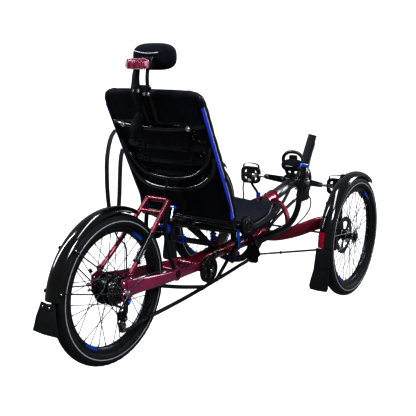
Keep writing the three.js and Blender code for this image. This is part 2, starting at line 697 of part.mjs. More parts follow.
/** Derailleur body between the hanger and the cage pivot. */
function derailleurBody() {
  return join(
    beam([
      { at: v(-73, 8, 228), width: 9, height: 16 },
      { at: v(-76, 24, 202), width: 15, height: 22 },
      { at: v(-70, 22, 176), width: 11, height: 18 },
    ]),
    bar(-74, -60.4, JOCKEY_TOP.y + 4, JOCKEY_TOP.z - 4, 9),
  );
}

/** Cage that carries both jockey wheels and swings about the upper one. */
function derailleurCage() {
  const outline = [
    [JOCKEY_TOP.y - 9, JOCKEY_TOP.z + 8], [JOCKEY_TOP.y + 9, JOCKEY_TOP.z + 8],
    [JOCKEY_LOW.y + 9, JOCKEY_LOW.z - 9], [JOCKEY_LOW.y - 9, JOCKEY_LOW.z - 9],
  ];
  const plates = [plate(outline, -60, -57.6), plate(outline, -44.4, -42)];
  const jockey = ({ y, z }) => join(bar(-54, -47, y, z, JOCKEY_R, 14), bar(-59, -43, y, z, 4, 8));
  return join(plates, jockey(JOCKEY_TOP), jockey(JOCKEY_LOW));
}
node("derailleur_body", derailleurBody(), "mattPlastic");
node("derailleur_cage", derailleurCage(), "darkSteel");

// ---------------------------------------------------------------- rear triangle
function swingarm() {
  const chainstay = beam([
    { at: v(66, 2, 262), width: 8, height: 60 },
    { at: v(62, -50, 259), width: 12, height: 50 },
    { at: v(60, -150, 248), width: 13, height: 40 },
    { at: v(60, -241, 240), width: 13, height: 36 },
    { at: v(56, -330, 234), width: 13, height: 30 },
    { at: v(48, PIVOT_Y, PIVOT_Z), width: 15, height: 26 },
  ]);
  const dropout = plate([[-30, 238], [-12, 222], [16, 224], [26, 240], [24, 292], [-6, 302], [-30, 292]],
    61, 67);
  const pivotEye = bar(40, 57, PIVOT_Y, PIVOT_Z, 19);
  const axleNut = bar(66, 74, 0, AXLE_Z, 9, 6);
  const bridge = bar(-58, 58, -302, 238, 11);
  const hanger = plate([[-6, 216], [18, 214], [18, 246], [-6, 246]], -67, -62);
  return join(bothSides(join(chainstay, dropout, pivotEye, axleNut)), bridge, hanger);
}

/** A-frame over the wheel, with front legs that carry the cup behind the elastomer. */
function rearStays() {
  const stay = rod([v(64, -14, 303), v(60, -60, 340), v(52, -150, 420), v(45, -247, 506)], 8.5, { steps: 4 });
  const frontLeg = rod([v(45, -247, 506), v(42, -232, 430), v(46, -236, 350), v(54, -262, 262)],
    7.5, { sides: 6, steps: 5 });
  const topBridge = bar(-47, 47, -247, 506, 9);
  const secondBridge = bar(-50, 50, -208, 470, 7, 10);
  const cupBar = bar(-44, 44, -231, 392, 8, 10);
  const cup = rod([v(0, -226, 392), v(0, -240, 392)], 24, { sides: 16 });
  const stayFoot = plate([[-26, 302.6], [-2, 302.6], [-4, 316], [-24, 316]], 58, 68);
  return join(bothSides(join(stay, frontLeg, stayFoot)), topBridge, secondBridge, cupBar, cup);
}

node("swingarm", swingarm(), "redPaint");
node("rear_stays", rearStays(), "redPaint");

const ELASTOMER_Y = [-290, -240 - GAP];
const elastomer = rod([v(0, ELASTOMER_Y[0], 392), v(0, ELASTOMER_Y[1], 392)], 20, { sides: 20 });
node("elastomer", elastomer, "blueElastomer");

// ---------------------------------------------------------------- seat tower and recline clamp
function seatTower() {
  const upper = rod([v(0, -312, 410), v(0, -740, 286)], 12.5, { sides: 10 });
  const lower = rod([v(0, -320, 352), v(0, -575, 270)], 11, { sides: 8 });
  const rearPost = rod([v(0, -314, 345), v(0, -314, 415)], 13, { sides: 10 });
  const diagonal = rod([v(0, -405, 385), v(0, -540, 285)], 9);
  const frontFoot = rod([v(0, -732, 292), v(0, -736, 256)], 13, { sides: 10 });
  const rearFoot = rod([v(0, -560, 275), v(0, -560, 258.6)], 13, { sides: 10 });
  const elastomerPlate = rod([v(0, -312, 392), v(0, -291, 392)], 23, { sides: 16 });
  const keelSpine = rod([v(0, -585, 270), v(0, -585, 325)], 8);
  const bracket = plate([[-330, 408], [-294, 408], [-294, 466], [-304, 478], [-330, 478]], -4, 4);
  const keelClearance = rod([v(0, -530, 231), v(0, -640, 231), v(0, -780, 229)],
    KEEL_R + 1.5, { sides: 12, steps: 2 });
  const postClearance = rod([v(0, -611, 230), v(0, -603, 291)], 16, { sides: 10 });
  return join(upper, lower, rearPost, diagonal, frontFoot, rearFoot, elastomerPlate, keelSpine, bracket)
    .subtract(keelClearance)
    .subtract(postClearance);
}
node("seat_tower", seatTower(), "blackPaint");

const reclineLever = join(
  bar(-22, -4.6, -312, 466, 9),
  beam([
    { at: v(-18, -312, 466), width: 8, height: 12 },
    { at: v(-24, -298, 448), width: 8, height: 14 },
    { at: v(-27, -284, 424), width: 7, height: 12 },
  ]),
);
node("recline_lever", reclineLever, "silver");

// ---------------------------------------------------------------- seat
const backSlope = (SEAT_TOP[0] - HINGE_Y) / (SEAT_TOP[1] - KINK_Z);
const backY = (z) => HINGE_Y + Math.max(0, z - KINK_Z) * backSlope;
const TUBE = 10;

/** Straight lower part of the +X headrest post, along the line it slides on. */
function postShaft(radius) {
  return rod([v(POST_X, POST_FOOT[0], POST_FOOT[1]), v(POST_X, POST_NECK[0], POST_NECK[1])],
    radius, { sides: 8 });
}

function seatBackFrame() {
  const topZ = SEAT_TOP[1] + 8;
  const sidePoints = [[HINGE_Z, 1], [440, 1], [480, 1], [640, 1], [820, 1], [862, 0.97], [topZ, 0.82]];
  const right = sidePoints.map(([z, share]) => v(-SEAT_HALF_W * share, backY(z), z));
  const left = [...right].reverse().map((p) => v(-p.x, p.y, p.z));
  const loop = rod([...right, v(0, backY(topZ), topZ + 4), ...left], TUBE, { steps: 22 });
  const foot = bar(-SEAT_HALF_W - 8, SEAT_HALF_W + 8, HINGE_Y, HINGE_Z, TUBE, 10);
  const upperBar = rod([
    v(-194, backY(766) + 12, 768), v(-140, backY(766) + 24, 758), v(0, backY(750) + 34, 750),
    v(140, backY(766) + 24, 758),
    v(194, backY(766) + 12, 768),
  ], 8, { sides: 6, steps: 8 });
  const hoop = rod([
    v(-194, backY(660) + 12, 660), v(-176, backY(600) + 26, 600), v(-120, backY(552) + 56, 552),
    v(0, -300, 536),
    v(120, backY(552) + 56, 552), v(176, backY(600) + 26, 600), v(194, backY(660) + 12, 660),
  ], 8.5, { sides: 6, steps: 13 });
  const upperHoop = rod([
    v(-194, backY(700) + 12, 700), v(-168, backY(640) + 24, 640), v(-110, backY(590) + 46, 590),
    v(0, backY(570) + 60, 572),
    v(110, backY(590) + 46, 590), v(168, backY(640) + 24, 640), v(194, backY(700) + 12, 700),
  ], 6.5, { steps: 12, sides: 6 });
  const spine = rod([v(0, -298, 536), v(0, backY(572) + 62, 572)], 6);
  const clampPlate = block([-32, backY(topZ) - 2, topZ - 6], [32, -174, topZ + 14]);
  const postBore = bothSides(postShaft(POST_R + GAP));
  const reclineTab = plate([[-320, 452], [-296, 452], [-292, 540], [-308, 540]], 5, 10);
  return join(loop, foot, upperBar, hoop, upperHoop, spine, reclineTab, clampPlate).subtract(postBore);
}
node("seat_back_frame", seatBackFrame(), "blackPaint");

const THREAD = 4;
function seatBackMesh() {
  const rows = [418, 461, 560, 660, 760, 836].map((z) => {
    const sag = 26 * Math.sin(((z - 405) / 470) * Math.PI);
    const halfW = SEAT_HALF_W - TUBE - 1.5 - (z > 800 ? 5 : 0);
    return [-1, -0.55, 0, 0.55, 1].map((share) => v(
      share * halfW, backY(z) - 2 + sag * (1 - share * share), z,
    ));
  });
  return sheet(rows, v(0, THREAD, 0));
}
node("seat_back_mesh", seatBackMesh(), "meshCloth");

const RAIL = [[-431, 399, 192], [-500, 374, 192], [-590, 360, 188], [-720, 368, 175], [-836, 388, 152]];
function seatBaseFrame() {
  const right = RAIL.map(([y, z, x]) => v(-x, y, z));
  const front = [v(-110, -862, 391), v(0, -868, 384), v(110, -862, 391)];
  const left = [...right].reverse().map((p) => v(-p.x, p.y, p.z));
  const loop = rod([...right, ...front, ...left], TUBE, { steps: 20 });
  const rearCross = rod([v(-190, -440, 394), v(-90, -446, 395), v(0, -448, 395), v(90, -446, 395),
    v(190, -440, 394)], 8,
    { sides: 6, steps: 6 });
  const frontCross = rod([
    v(-172, -738, 366), v(-100, -742, 336), v(0, -744, 309), v(100, -742, 336), v(172, -738, 366),
  ], 8, { sides: 6, steps: 8 });
  return join(loop, rearCross, frontCross);
}

function seatBaseMesh() {
  const rows = [[-462, 388, 192], [-540, 366, 190], [-640, 361, 184], [-740, 370, 171], [-846, 392, 130]];
  return sheet(rows.map(([y, z, x]) => [-1, -0.5, 0, 0.5, 1].map((share) => v(
    share * (x - TUBE - 1.5), y, z + 3 - 8 * (1 - share * share),
  ))), v(0, 0, THREAD));
}
node("seat_base_frame", seatBaseFrame(), "blackPaint");
node("seat_base_mesh", seatBaseMesh(), "meshCloth");

/** Slack webbing strap that hangs in a loop beside the backrest's left tube, its width along X. */
function sideStrap() {
  const [halfWidth, halfDepth, steps] = [10, 1.5, 30];
  const curve = new THREE.CatmullRomCurve3([
    v(221, -284, 729), v(223, -262, 705), v(224, -240, 640), v(224, -234, 560), v(223, -236, 480),
    v(222, -244, 430),
    v(222, -264, 408), v(222, -284, 424), v(222, -294, 470), v(222, -302, 560), v(222, -310, 625),
    v(221, -320, 656),
  ], false, "centripetal");
  const rings = [];
  for (let i = 0; i <= steps; i += 1) {
    const middle = curve.getPoint(i / steps);
    const along = curve.getTangent(i / steps);
    const side = v(1, 0, 0).addScaledVector(along, -along.x).normalize().multiplyScalar(halfWidth);
    const face = along.clone().cross(side).normalize().multiplyScalar(halfDepth);
    const corners = [[1, 0], [0.9, 1], [0, 1], [-0.9, 1], [-1, 0], [-0.9, -1], [0, -1], [0.9, -1]];
    rings.push(corners.map(([s, f]) => middle.clone().addScaledVector(side, s).addScaledVector(face, f)));
  }
  return loft(rings);
}
node("side_strap", sideStrap(), "webbing");

// ---------------------------------------------------------------- headrest
function headrestPosts() {
  const neck = rod([
    v(POST_X, POST_NECK[0], POST_NECK[1]), v(POST_X, -176, 925), v(POST_X, -184, 960), v(POST_X, -206, 985),
  ], POST_R, { steps: 5 });
  const post = join(postShaft(POST_R), neck);
  const backPlate = block([-34, -211, 966], [34, -204, 1004]);
  const lightArm = block([-8, -184, 958], [8, -172, 974]);
  const lightCross = block([-24, -190, 958], [24, -180, 974]);
  return join(bothSides(post), backPlate, lightArm, lightCross);
}

/** A cushion with rounded ends and edges, wide along X. */
function headrestPad() {
  const [halfW, halfD, halfH] = [88, 26, 39];
  const stations = [[-1, 0.45], [-0.93, 0.78], [-0.75, 1], [0.75, 1], [0.93, 0.78], [1, 0.45]];
  return loft(stations.map(([share, scale]) => {
    const ring = [];
    for (let i = 0; i < 12; i += 1) {
      const angle = ((i + 0.5) / 12) * 2 * Math.PI;
      const bulge = (n) => Math.sign(n) * Math.abs(n) ** 0.6;
      ring.push(v(
        share * halfW,
        HEADREST_Y + halfD * scale * bulge(Math.cos(angle)) - (1 - share * share) * 6 + 3,
        HEADREST_Z + halfH * scale * bulge(Math.sin(angle)),
      ));
    }
    return ring;
  }));
}

function tailLight() {
  return loft([[-47, 0.7], [-42, 1], [42, 1], [47, 0.7]].map(([x, scale]) => [
    v(x, -171, 966 - 15 * scale), v(x, -152, 966 - 15 * scale), v(x, -144, 966 - 9 * scale),
    v(x, -144, 966 + 9 * scale),
    v(x, -152, 966 + 15 * scale), v(x, -171, 966 + 15 * scale),
  ]));
}
node("headrest_posts", headrestPosts(), "blackPaint");
node("headrest_pad", headrestPad(), "navyPad");
node("tail_light", tailLight(), "redLens");

export default group;
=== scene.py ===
"""Looks for a tadpole recumbent trike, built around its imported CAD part.

Places are written in millimetres from the rear tyre's ground contact, as in the CAD source: +Z is up,
the rider faces -Y and the rider's right is -X. at() turns them into the frame's metres.
"""
from math import atan2, cos, pi, radians, sin, sqrt, tau

import bmesh
import bpy
from mathutils import Matrix, Vector


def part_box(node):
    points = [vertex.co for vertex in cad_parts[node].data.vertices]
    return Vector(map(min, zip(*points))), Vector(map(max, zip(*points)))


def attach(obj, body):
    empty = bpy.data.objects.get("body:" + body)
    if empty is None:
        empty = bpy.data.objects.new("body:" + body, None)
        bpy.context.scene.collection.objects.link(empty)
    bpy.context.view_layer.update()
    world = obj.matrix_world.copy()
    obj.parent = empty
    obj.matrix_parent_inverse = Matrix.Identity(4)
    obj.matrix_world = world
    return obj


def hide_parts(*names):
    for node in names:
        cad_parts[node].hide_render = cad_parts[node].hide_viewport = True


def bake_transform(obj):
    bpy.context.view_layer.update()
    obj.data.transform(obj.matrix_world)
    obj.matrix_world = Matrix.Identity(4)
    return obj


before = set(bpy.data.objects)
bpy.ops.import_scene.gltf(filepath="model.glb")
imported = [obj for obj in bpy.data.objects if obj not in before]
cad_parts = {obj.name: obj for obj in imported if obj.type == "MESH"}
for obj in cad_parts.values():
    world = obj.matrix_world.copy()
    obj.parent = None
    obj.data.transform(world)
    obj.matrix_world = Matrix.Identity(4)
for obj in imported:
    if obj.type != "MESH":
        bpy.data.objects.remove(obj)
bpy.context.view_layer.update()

MM = 0.001
REAR_AXLE = sum(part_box("rear_tyre"), Vector()) / 2
SIDES = {"left": 1, "right": -1}
X_AXIS, Y_AXIS, Z_AXIS = Vector((1, 0, 0)), Vector((0, 1, 0)), Vector((0, 0, 1))

# ---------------------------------------------------------------- driving dimensions, in millimetres
TYRE_R = REAR_AXLE.z / MM
AXLE_Z = TYRE_R
FRONT_Y = -1064
HALF_TRACK = 374
KINGPIN_X = 300
SPOKES = 32
SPOKE_R = 1.35  # thicker than a real spoke, so that it reads as it does in the photo
TYRE_STEPS = 288
SIPE_DEEP, GROOVE_DEEP, SHOULDER_DEEP = 1.7, 1.9, 0.9
FENDER_STEPS = 60
NIPPLE_R = 188

PIVOT_Y, PIVOT_Z = -430, 225
IDLER_X, IDLER_Y, IDLER_Z, IDLER_R = -69, -455, 208, 49
KEEL_R = 25
BB_Y, BB_Z = -1262, 417
CRANK_LENGTH = 149
CRANK_ANGLE = atan2(35, 145)
PEDAL_X = 150
CHAINRING_X, CHAINRING_R = -48, 64
ACCESSORY_Y = -1243
STEER_Y = -725
BOSS_Z = 190
STEER_ARM_Z, STEER_ARM = 180, (8, -58)
TRACK_Z, TRACK_ARM = 240, (0, -52)

HINGE_Y, HINGE_Z = -415, 405
KINK_Z = 461
SEAT_TOP_Y, SEAT_TOP_Z = -222, 858
SEAT_HALF_W = 200
TUBE = 10
BACK_SLOPE = (SEAT_TOP_Y - HINGE_Y) / (SEAT_TOP_Z - KINK_Z)
HEADREST = (0, -242, 989)
CHAIN_PITCH = 12.7


def at(x, y, z):
    """A point in millimetres from the rear tyre's ground contact, as a point of the frame."""
    return Vector((x * MM, y * MM + REAR_AXLE.y, z * MM))


def back_y(z):
    """Where the middle of the backrest's side tubes runs at height z."""
    return HINGE_Y + max(0, z - KINK_Z) * BACK_SLOPE


# ---------------------------------------------------------------- shapes: each is (points, faces)
def skin(rings, closed=False):
    """A skin through rings that hold the same number of points; closed joins the last to the first."""
    size = len(rings[0])
    points = [p for ring in rings for p in ring]
    faces = []
    for r in range(len(rings) if closed else len(rings) - 1):
        here = r * size
        there = (r + 1) % len(rings) * size
        for i in range(size):
            j = (i + 1) % size
            faces.append((here + i, here + j, there + j, there + i))
    if not closed:
        faces.append(tuple(reversed(range(size))))
        faces.append(tuple(range(len(points) - size, len(points))))
    return points, faces


def merged(*shapes):
    points, faces = [], []
    for more_points, more_faces in shapes:
        start = len(points)
        points += more_points
        faces += [tuple(i + start for i in face) for face in more_faces]
    return points, faces


def flipped(shape):
    """The shape mirrored in the plane x = 0."""
    points, faces = shape
    return [Vector((-p.x, p.y, p.z)) for p in points], [tuple(reversed(face)) for face in faces]


def mirrored(line):
    """The line's mirror image in x = 0, from its last point back to its first."""
    return [Vector((-p.x, p.y, p.z)) for p in reversed(line)]


def both_sides(shape):
    return merged(shape, flipped(shape))


def on_side(shape, side):
    return shape if side > 0 else flipped(shape)


def spline(points, per=6):
    """A smooth line through the points, with per steps between neighbours (centripetal Catmull-Rom)."""
    if len(points) == 2:
        return list(points)
    ends = [2 * points[0] - points[1], *points, 2 * points[-1] - points[-2]]
    line = []
    for a, b, c, d in zip(ends, ends[1:], ends[2:], ends[3:]):
        tb = (b - a).length ** 0.5
        tc = tb + (c - b).length ** 0.5
        td = tc + (d - c).length ** 0.5
        for k in range(per):
            t = tb + (tc - tb) * k / per
            ab = a.lerp(b, t / tb)
            bc = b.lerp(c, (t - tb) / (tc - tb))
            cd = c.lerp(d, (t - tc) / (td - tc))
            abc = ab.lerp(bc, t / tc)
            bcd = bc.lerp(cd, (t - tb) / (td - tb))
            line.append(abc.lerp(bcd, (t - tb) / (tc - tb)))
    line.append(points[-1].copy())
    return line


def square_to(axis):
    """Two directions that stand square to an axis and to each other."""
    helper = Z_AXIS if abs(axis.z) < 0.9 else Y_AXIS
    across = axis.cross(helper).normalized()
    return across, axis.cross(across).normalized()


def frames_along(line, closed=False):
    """(point, across, up) along a line, with as little twist as possible between points."""
    last = len(line) - 1
    tangents = []
    for i in range(len(line)):
        before = line[i - 1] if i > 0 or closed else line[0]
        after = line[(i + 1) % len(line)] if i < last or closed else line[last]
        tangents.append((after - before).normalized())
    across, up = square_to(tangents[0])
    stations = []
    for i, tangent in enumerate(tangents):
        if i:
            turn = tangents[i - 1].rotation_difference(tangent)
            across, up = turn @ across, turn @ up
        stations.append((line[i], across, up))
    return stations


def around(count):
    """Even angles round a circle, from zero."""
    return [tau * i / count for i in range(count)]


def bent(value, power):
    """The value raised to a power, its sign kept: it turns a round outline into a box-like one."""
    return abs(value) ** power * (1 if value > 0 else -1)


def circle(radius, sides):
    """Points (across, up) round a circle, in millimetres."""
    return [(radius * cos(a), radius * sin(a)) for a in around(sides)]


def swept(line, section, closed=False):
    """A solid that carries a section, in millimetres, along a line."""
    rings = []
    for point, across, up in frames_along(line, closed):
        rings.append([point + across * u * MM + up * w * MM for u, w in section])
    return skin(rings, closed)


def tube(points, radius, sides=16, per=6, closed=False):
    line = points if closed else spline(points, per)
    return swept(line, circle(radius, sides), closed)


def turned(profile, centre, axis=X_AXIS, sides=48, closed=False):
    """A solid of revolution; the profile lists (along, radius) in millimetres from the centre."""
    across, up = square_to(axis)
    rings = []
    for along, radius in profile:
        middle = centre + axis * along * MM
        rings.append([middle + (across * cos(a) + up * sin(a)) * radius * MM for a in around(sides)])
    return skin(rings, closed)


def block(low, high, soft=1.0):
    """A block between two corners in millimetres, its edges rounded."""
    (x0, y0, z0), (x1, y1, z1) = low, high
    corners = [(x1, y1, 0), (x0, y1, 90), (x0, y0, 180), (x1, y0, 270)]
    rings = []
    for z, inset in ((z0, soft), (z0 + soft * 0.3, soft * 0.3), (z0 + soft, 0),
                     (z1 - soft, 0), (z1 - soft * 0.3, soft * 0.3), (z1, soft)):
        ring = []
        for x, y, start in corners:
            middle_x = x - soft if x == x1 else x + soft
            middle_y = y - soft if y == y1 else y + soft
            reach = max(soft - inset, 0.02)
            for step in (0, 45, 90):
                a = radians(start + step)
                ring.append(Vector((middle_x + reach * cos(a), middle_y + reach * sin(a), z)))
        rings.append(ring)
    rings = [[at(*p) for p in ring] for ring in rings]
    return skin(rings)


def plate(outlines, thickness, place, soft=0.3):
    """A flat plate: the first outline is its edge and the rest are holes; place stands it up."""
    curve = bpy.data.curves.new("outline", "CURVE")
    curve.dimensions = "2D"
    curve.fill_mode = "BOTH"
    curve.extrude = thickness / 2 - soft
    curve.bevel_depth = soft
    curve.bevel_resolution = 1
    curve.offset = -soft
    for outline in outlines:
        line = curve.splines.new("POLY")
        line.points.add(len(outline) - 1)
        for point, (u, w) in zip(line.points, outline):
            point.co = (u, w, 0, 1)
        line.use_cyclic_u = True
    holder = bpy.data.objects.new("outline", curve)
    mesh = bpy.data.meshes.new_from_object(holder)
    points = [at(*(place @ vertex.co)) for vertex in mesh.vertices]
    faces = [tuple(face.vertices) for face in mesh.polygons]
    bpy.data.objects.remove(holder)
    bpy.data.curves.remove(curve)
    bpy.data.meshes.remove(mesh)
    return points, faces


def stand(x, y, z):
    """Puts a plate's outline in the YZ plane: its u runs along Y, its w along Z and its depth along X."""
    return Matrix(((0, 0, 1, x), (1, 0, 0, y), (0, 1, 0, z), (0, 0, 0, 1)))


def facing(x, y, z, tilt=0.0):
    """Puts a plate's outline in the XZ plane, tilted about X by an angle in degrees."""
    upright = Matrix(((1, 0, 0, 0), (0, 0, -1, 0), (0, 1, 0, 0), (0, 0, 0, 1)))
    return Matrix.Translation((x, y, z)) @ Matrix.Rotation(radians(tilt), 4, "X") @ upright


def ring_of(radius, sides, centre=(0, 0)):
    """A round outline for a plate, in millimetres."""
    return [(centre[0] + radius * cos(a), centre[1] + radius * sin(a)) for a in around(sides)]


def toothed(radius, teeth, depth=4.0):
    """The outline of a sprocket whose teeth reach depth past its root."""
    shape = ((0.0, 0.0), (0.22, 0.12), (0.4, 1.0), (0.6, 1.0), (0.78, 0.12))
    outline = []
    for tooth in range(teeth):
        for step, rise in shape:
            a = tau * (tooth + step) / teeth
            r = radius - depth / 2 + depth * rise
            outline.append((r * cos(a), r * sin(a)))
    return outline


def window(inner, outer, start, end, steps=6):
    """A window between two radii and two angles in degrees, for a plate."""
    angles = [radians(start + (end - start) * i / steps) for i in range(steps + 1)]
    near = [(inner * cos(a), inner * sin(a)) for a in angles]
    far = [(outer * cos(a), outer * sin(a)) for a in reversed(angles)]
    return near + far


def band(points, width, thickness, across, per=6):
    """A flat strap along a smooth line; across gives its width's direction at each point, or one for all."""
    directions = across if isinstance(across, list) else [across] * len(points)
    line = spline(points, per)
    turns = spline(directions, per) if isinstance(across, list) else [across] * len(line)
    rings = []
    for i, point in enumerate(line):
        along = (line[min(i + 1, len(line) - 1)] - line[max(i - 1, 0)]).normalized()
        side = (turns[i] - along * turns[i].dot(along)).normalized()
        normal = along.cross(side)
        edge = side * width / 2 * MM
        face = normal * thickness / 2 * MM
        inner = edge * 0.94
        rings.append([point + edge, point + inner + face, point - inner + face, point - edge,
                      point - inner - face, point + inner - face])
    return skin(rings)


def sheet_of(rows, thickness, per=5):
    """A sheet of even thickness through a grid of points, smoothed both ways."""
    across = [spline(row, per) for row in rows]
    columns = [spline(list(column), per) for column in zip(*across)]
    grid = [list(row) for row in zip(*columns)]
    rings = []
    for r, row in enumerate(grid):
        ahead = grid[min(r + 1, len(grid) - 1)]
        behind = grid[max(r - 1, 0)]
        top, bottom = [], []
        for c, point in enumerate(row):
            along_row = row[min(c + 1, len(row) - 1)] - row[max(c - 1, 0)]
            normal = along_row.cross(ahead[c] - behind[c]).normalized() * thickness / 2 * MM
            top.append(point + normal)
            bottom.append(point - normal)
        rings.append(top + bottom[::-1])
    return skin(rings)


def bolt(point, axis, radius, height=None, sides=18):
    """A socket-head bolt on its washer, its head standing along the axis."""
    height = height or radius * 0.9
    head = [(0, radius * 1.45), (height * 0.22, radius * 1.45), (height * 0.22, radius),
            (height * 0.95, radius), (height * 1.1, radius * 0.88), (height * 1.1, radius * 0.5),
            (height * 0.5, radius * 0.46)]
    return turned(head, point, axis.normalized(), sides)


def hex_nut(point, axis, radius, height):
    washer = [(0, radius * 1.3), (height * 0.2, radius * 1.3)]
    nut = [(height * 0.2, radius), (height * 0.9, radius), (height, radius * 0.85), (height, radius * 0.5),
           (height * 1.3, radius * 0.48)]
    axis = axis.normalized()
    return merged(turned(washer, point, axis, 20), turned(nut, point, axis, 6))


def weld(point, axis, radius, bead=2.6):
    """A rippled weld bead round a tube of the given radius."""
    across, up = square_to(axis.normalized())
    steps = 48
    line = []
    for i in range(steps):
        a = tau * i / steps
        wave = radius + 0.5 * (i % 2)
        line.append(point + (across * cos(a) + up * sin(a)) * wave * MM)
    return tube(line, bead, sides=7, closed=True)


# ---------------------------------------------------------------- pieces
def piece(name, body, shapes, materials, stands_for=(), sharp=38):
    """One named object on one body. Shapes and materials pair up, or one material serves all shapes."""
    materials = materials if isinstance(materials, list) else [materials] * len(shapes)
    mesh = bpy.data.meshes.new(name)
    points, faces = merged(*shapes)
    mesh.from_pydata(points, [], faces)
    for material in dict.fromkeys(materials):
        mesh.materials.append(material)
    order = list(dict.fromkeys(materials))
    numbers = [order.index(m) for shape, m in zip(shapes, materials) for _ in shape[1]]
    mesh.polygons.foreach_set("material_index", numbers)
    work = bmesh.new()
    work.from_mesh(mesh)
    bmesh.ops.recalc_face_normals(work, faces=work.faces)
    work.to_mesh(mesh)
    work.free()
    mesh.shade_smooth()
    mesh.set_sharp_from_angle(angle=radians(sharp))
    made = bpy.data.objects.new(name, mesh)
    bpy.context.scene.collection.objects.link(made)
    if body:
        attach(made, body)
    if stands_for:
        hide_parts(*stands_for)
    return made


# ---------------------------------------------------------------- materials
class Finish:
    """A Principled material whose patterns are built from nodes in the frame's metres."""

    def __init__(self, name, colour, roughness, **sockets):
        self.material = bpy.data.materials.new(name)
        self.material.use_nodes = True
        self.nodes = self.material.node_tree.nodes
        self.links = self.material.node_tree.links
        self.surface = self.nodes["Principled BSDF"]
        self.place = self.nodes.new("ShaderNodeTexCoord").outputs["Object"]
        self.colour = (*colour, 1)
        self.set("Base Color", self.colour)
        self.set("Roughness", roughness)
        for socket, value in sockets.items():
            self.set(socket.replace("_", " "), value)
        self.roughness = roughness
        self.height = None

    def set(self, socket, value):
        self.surface.inputs[socket].default_value = value

    def noise(self, scale, detail=4.0, stretch=None):
        texture = self.nodes.new("ShaderNodeTexNoise")
        texture.inputs["Scale"].default_value = scale
        texture.inputs["Detail"].default_value = detail
        self.links.new(self.stretched(stretch), texture.inputs["Vector"])
        return texture.outputs["Fac"]

    def waves(self, scale, direction, distortion=0.0, profile="SIN", stretch=None):
        texture = self.nodes.new("ShaderNodeTexWave")
        texture.bands_direction = direction
        texture.wave_profile = profile
        texture.inputs["Scale"].default_value = scale
        texture.inputs["Distortion"].default_value = distortion
        self.links.new(self.stretched(stretch), texture.inputs["Vector"])
        return texture.outputs["Fac"]

    def cells(self, scale, feature="F1"):
        texture = self.nodes.new("ShaderNodeTexVoronoi")
        texture.feature = feature
        texture.inputs["Scale"].default_value = scale
        self.links.new(self.place, texture.inputs["Vector"])
        return texture.outputs["Distance"]

    def stretched(self, stretch):
        if not stretch:
            return self.place
        mapping = self.nodes.new("ShaderNodeMapping")
        mapping.inputs["Scale"].default_value = stretch
        self.links.new(self.place, mapping.inputs["Vector"])
        return mapping.outputs["Vector"]

    def ranged(self, value, low, high, to_low, to_high):
        span = self.nodes.new("ShaderNodeMapRange")
        for socket, number in zip(("From Min", "From Max", "To Min", "To Max"), (low, high, to_low, to_high)):
            span.inputs[socket].default_value = number
        self.links.new(value, span.inputs["Value"])
        return span.outputs["Result"]

    def times(self, a, b, operation="MULTIPLY"):
        maths = self.nodes.new("ShaderNodeMath")
        maths.operation = operation
        self.links.new(a, maths.inputs[0])
        self.links.new(b, maths.inputs[1])
        return maths.outputs["Value"]

    def blend(self, value, other, low=0.4, high=0.6):
        """Mixes another colour in where the value passes from low to high."""
        mix = self.nodes.new("ShaderNodeMix")
        mix.data_type = "RGBA"
        self.links.new(self.ranged(value, low, high, 0, 1), mix.inputs["Factor"])
        base = self.surface.inputs["Base Color"]
        if base.is_linked:
            self.links.new(base.links[0].from_socket, mix.inputs["A"])
        else:
            mix.inputs["A"].default_value = self.colour
        mix.inputs["B"].default_value = (*other, 1)
        self.links.new(mix.outputs["Result"], base)
        return self

    def mottle(self, scale, share=0.25, low=0.35, high=0.65):
        """Lets the colour drift lighter and darker over patches of the given scale."""
        lighter = [min(1, c * (1 + share) + 0.002) for c in self.colour[:3]]
        return self.blend(self.noise(scale), lighter, low, high)

    def rough(self, scale, spread=0.08, stretch=None):
        """Lets the roughness vary, as handled and cleaned surfaces do."""
        value = self.ranged(self.noise(scale, 5, stretch), 0.3, 0.7, max(0.02, self.roughness - spread),
                            self.roughness + spread)
        self.links.new(value, self.surface.inputs["Roughness"])
        return self

    def bump(self, value, depth, strength=0.6):
        """Adds surface relief of the given depth in millimetres."""
        node = self.nodes.new("ShaderNodeBump")
        node.inputs["Distance"].default_value = depth * MM
        node.inputs["Strength"].default_value = strength
        self.links.new(value, node.inputs["Height"])
        if self.height:
            self.links.new(self.height, node.inputs["Normal"])
        self.height = node.outputs["Normal"]
        self.links.new(self.height, self.surface.inputs["Normal"])
        return self


def candy_red():
    """Metallic candy red under clear coat: fine flake, and a pinker tone where the coat is thin."""
    paint = Finish("candy_red", (0.17, 0.0035, 0.026), 0.3, Metallic=0.55, Coat_Weight=1.0,
                   Coat_Roughness=0.05)
    paint.mottle(9, 0.5).blend(paint.cells(2600), (0.5, 0.03, 0.08), 0.25, 0.05)
    return paint.rough(40).bump(paint.noise(700, 2), 0.05, 0.25).material


def red_with_painted_sheen():
    """The red of the flat chainstays and their fittings, painted lighter and cooler than the frame's red: a
    painted sheen, where the flat faces catch the light.
    """
    paint = Finish("red_with_painted_sheen", (0.25, 0.013, 0.08), 0.34, Metallic=0.35, Coat_Weight=0.9, Coat_Roughness=0.08)
    paint.mottle(12, 0.35).blend(paint.cells(2600), (0.6, 0.1, 0.2), 0.22, 0.05)
    return paint.rough(40).bump(paint.noise(700, 2), 0.05, 0.25).material


def powder_black():
    """Satin black powder coat: a fine orange peel."""
    paint = Finish("powder_black", (0.006, 0.006, 0.008), 0.3, Specular_IOR_Level=0.4, Coat_Weight=0.3,
                   Coat_Roughness=0.12)
    paint.mottle(30, 0.5)
    return paint.rough(60, 0.1).bump(paint.noise(900, 3), 0.08, 0.35).material


def gloss_black():
    """Polished black plastic with faint handling haze."""
    plastic = Finish("gloss_black", (0.003, 0.003, 0.004), 0.12, Coat_Weight=0.8, Coat_Roughness=0.03)
    plastic.mottle(14, 0.6)
    return plastic.rough(30, 0.05).bump(plastic.noise(45, 2), 0.12, 0.12).material


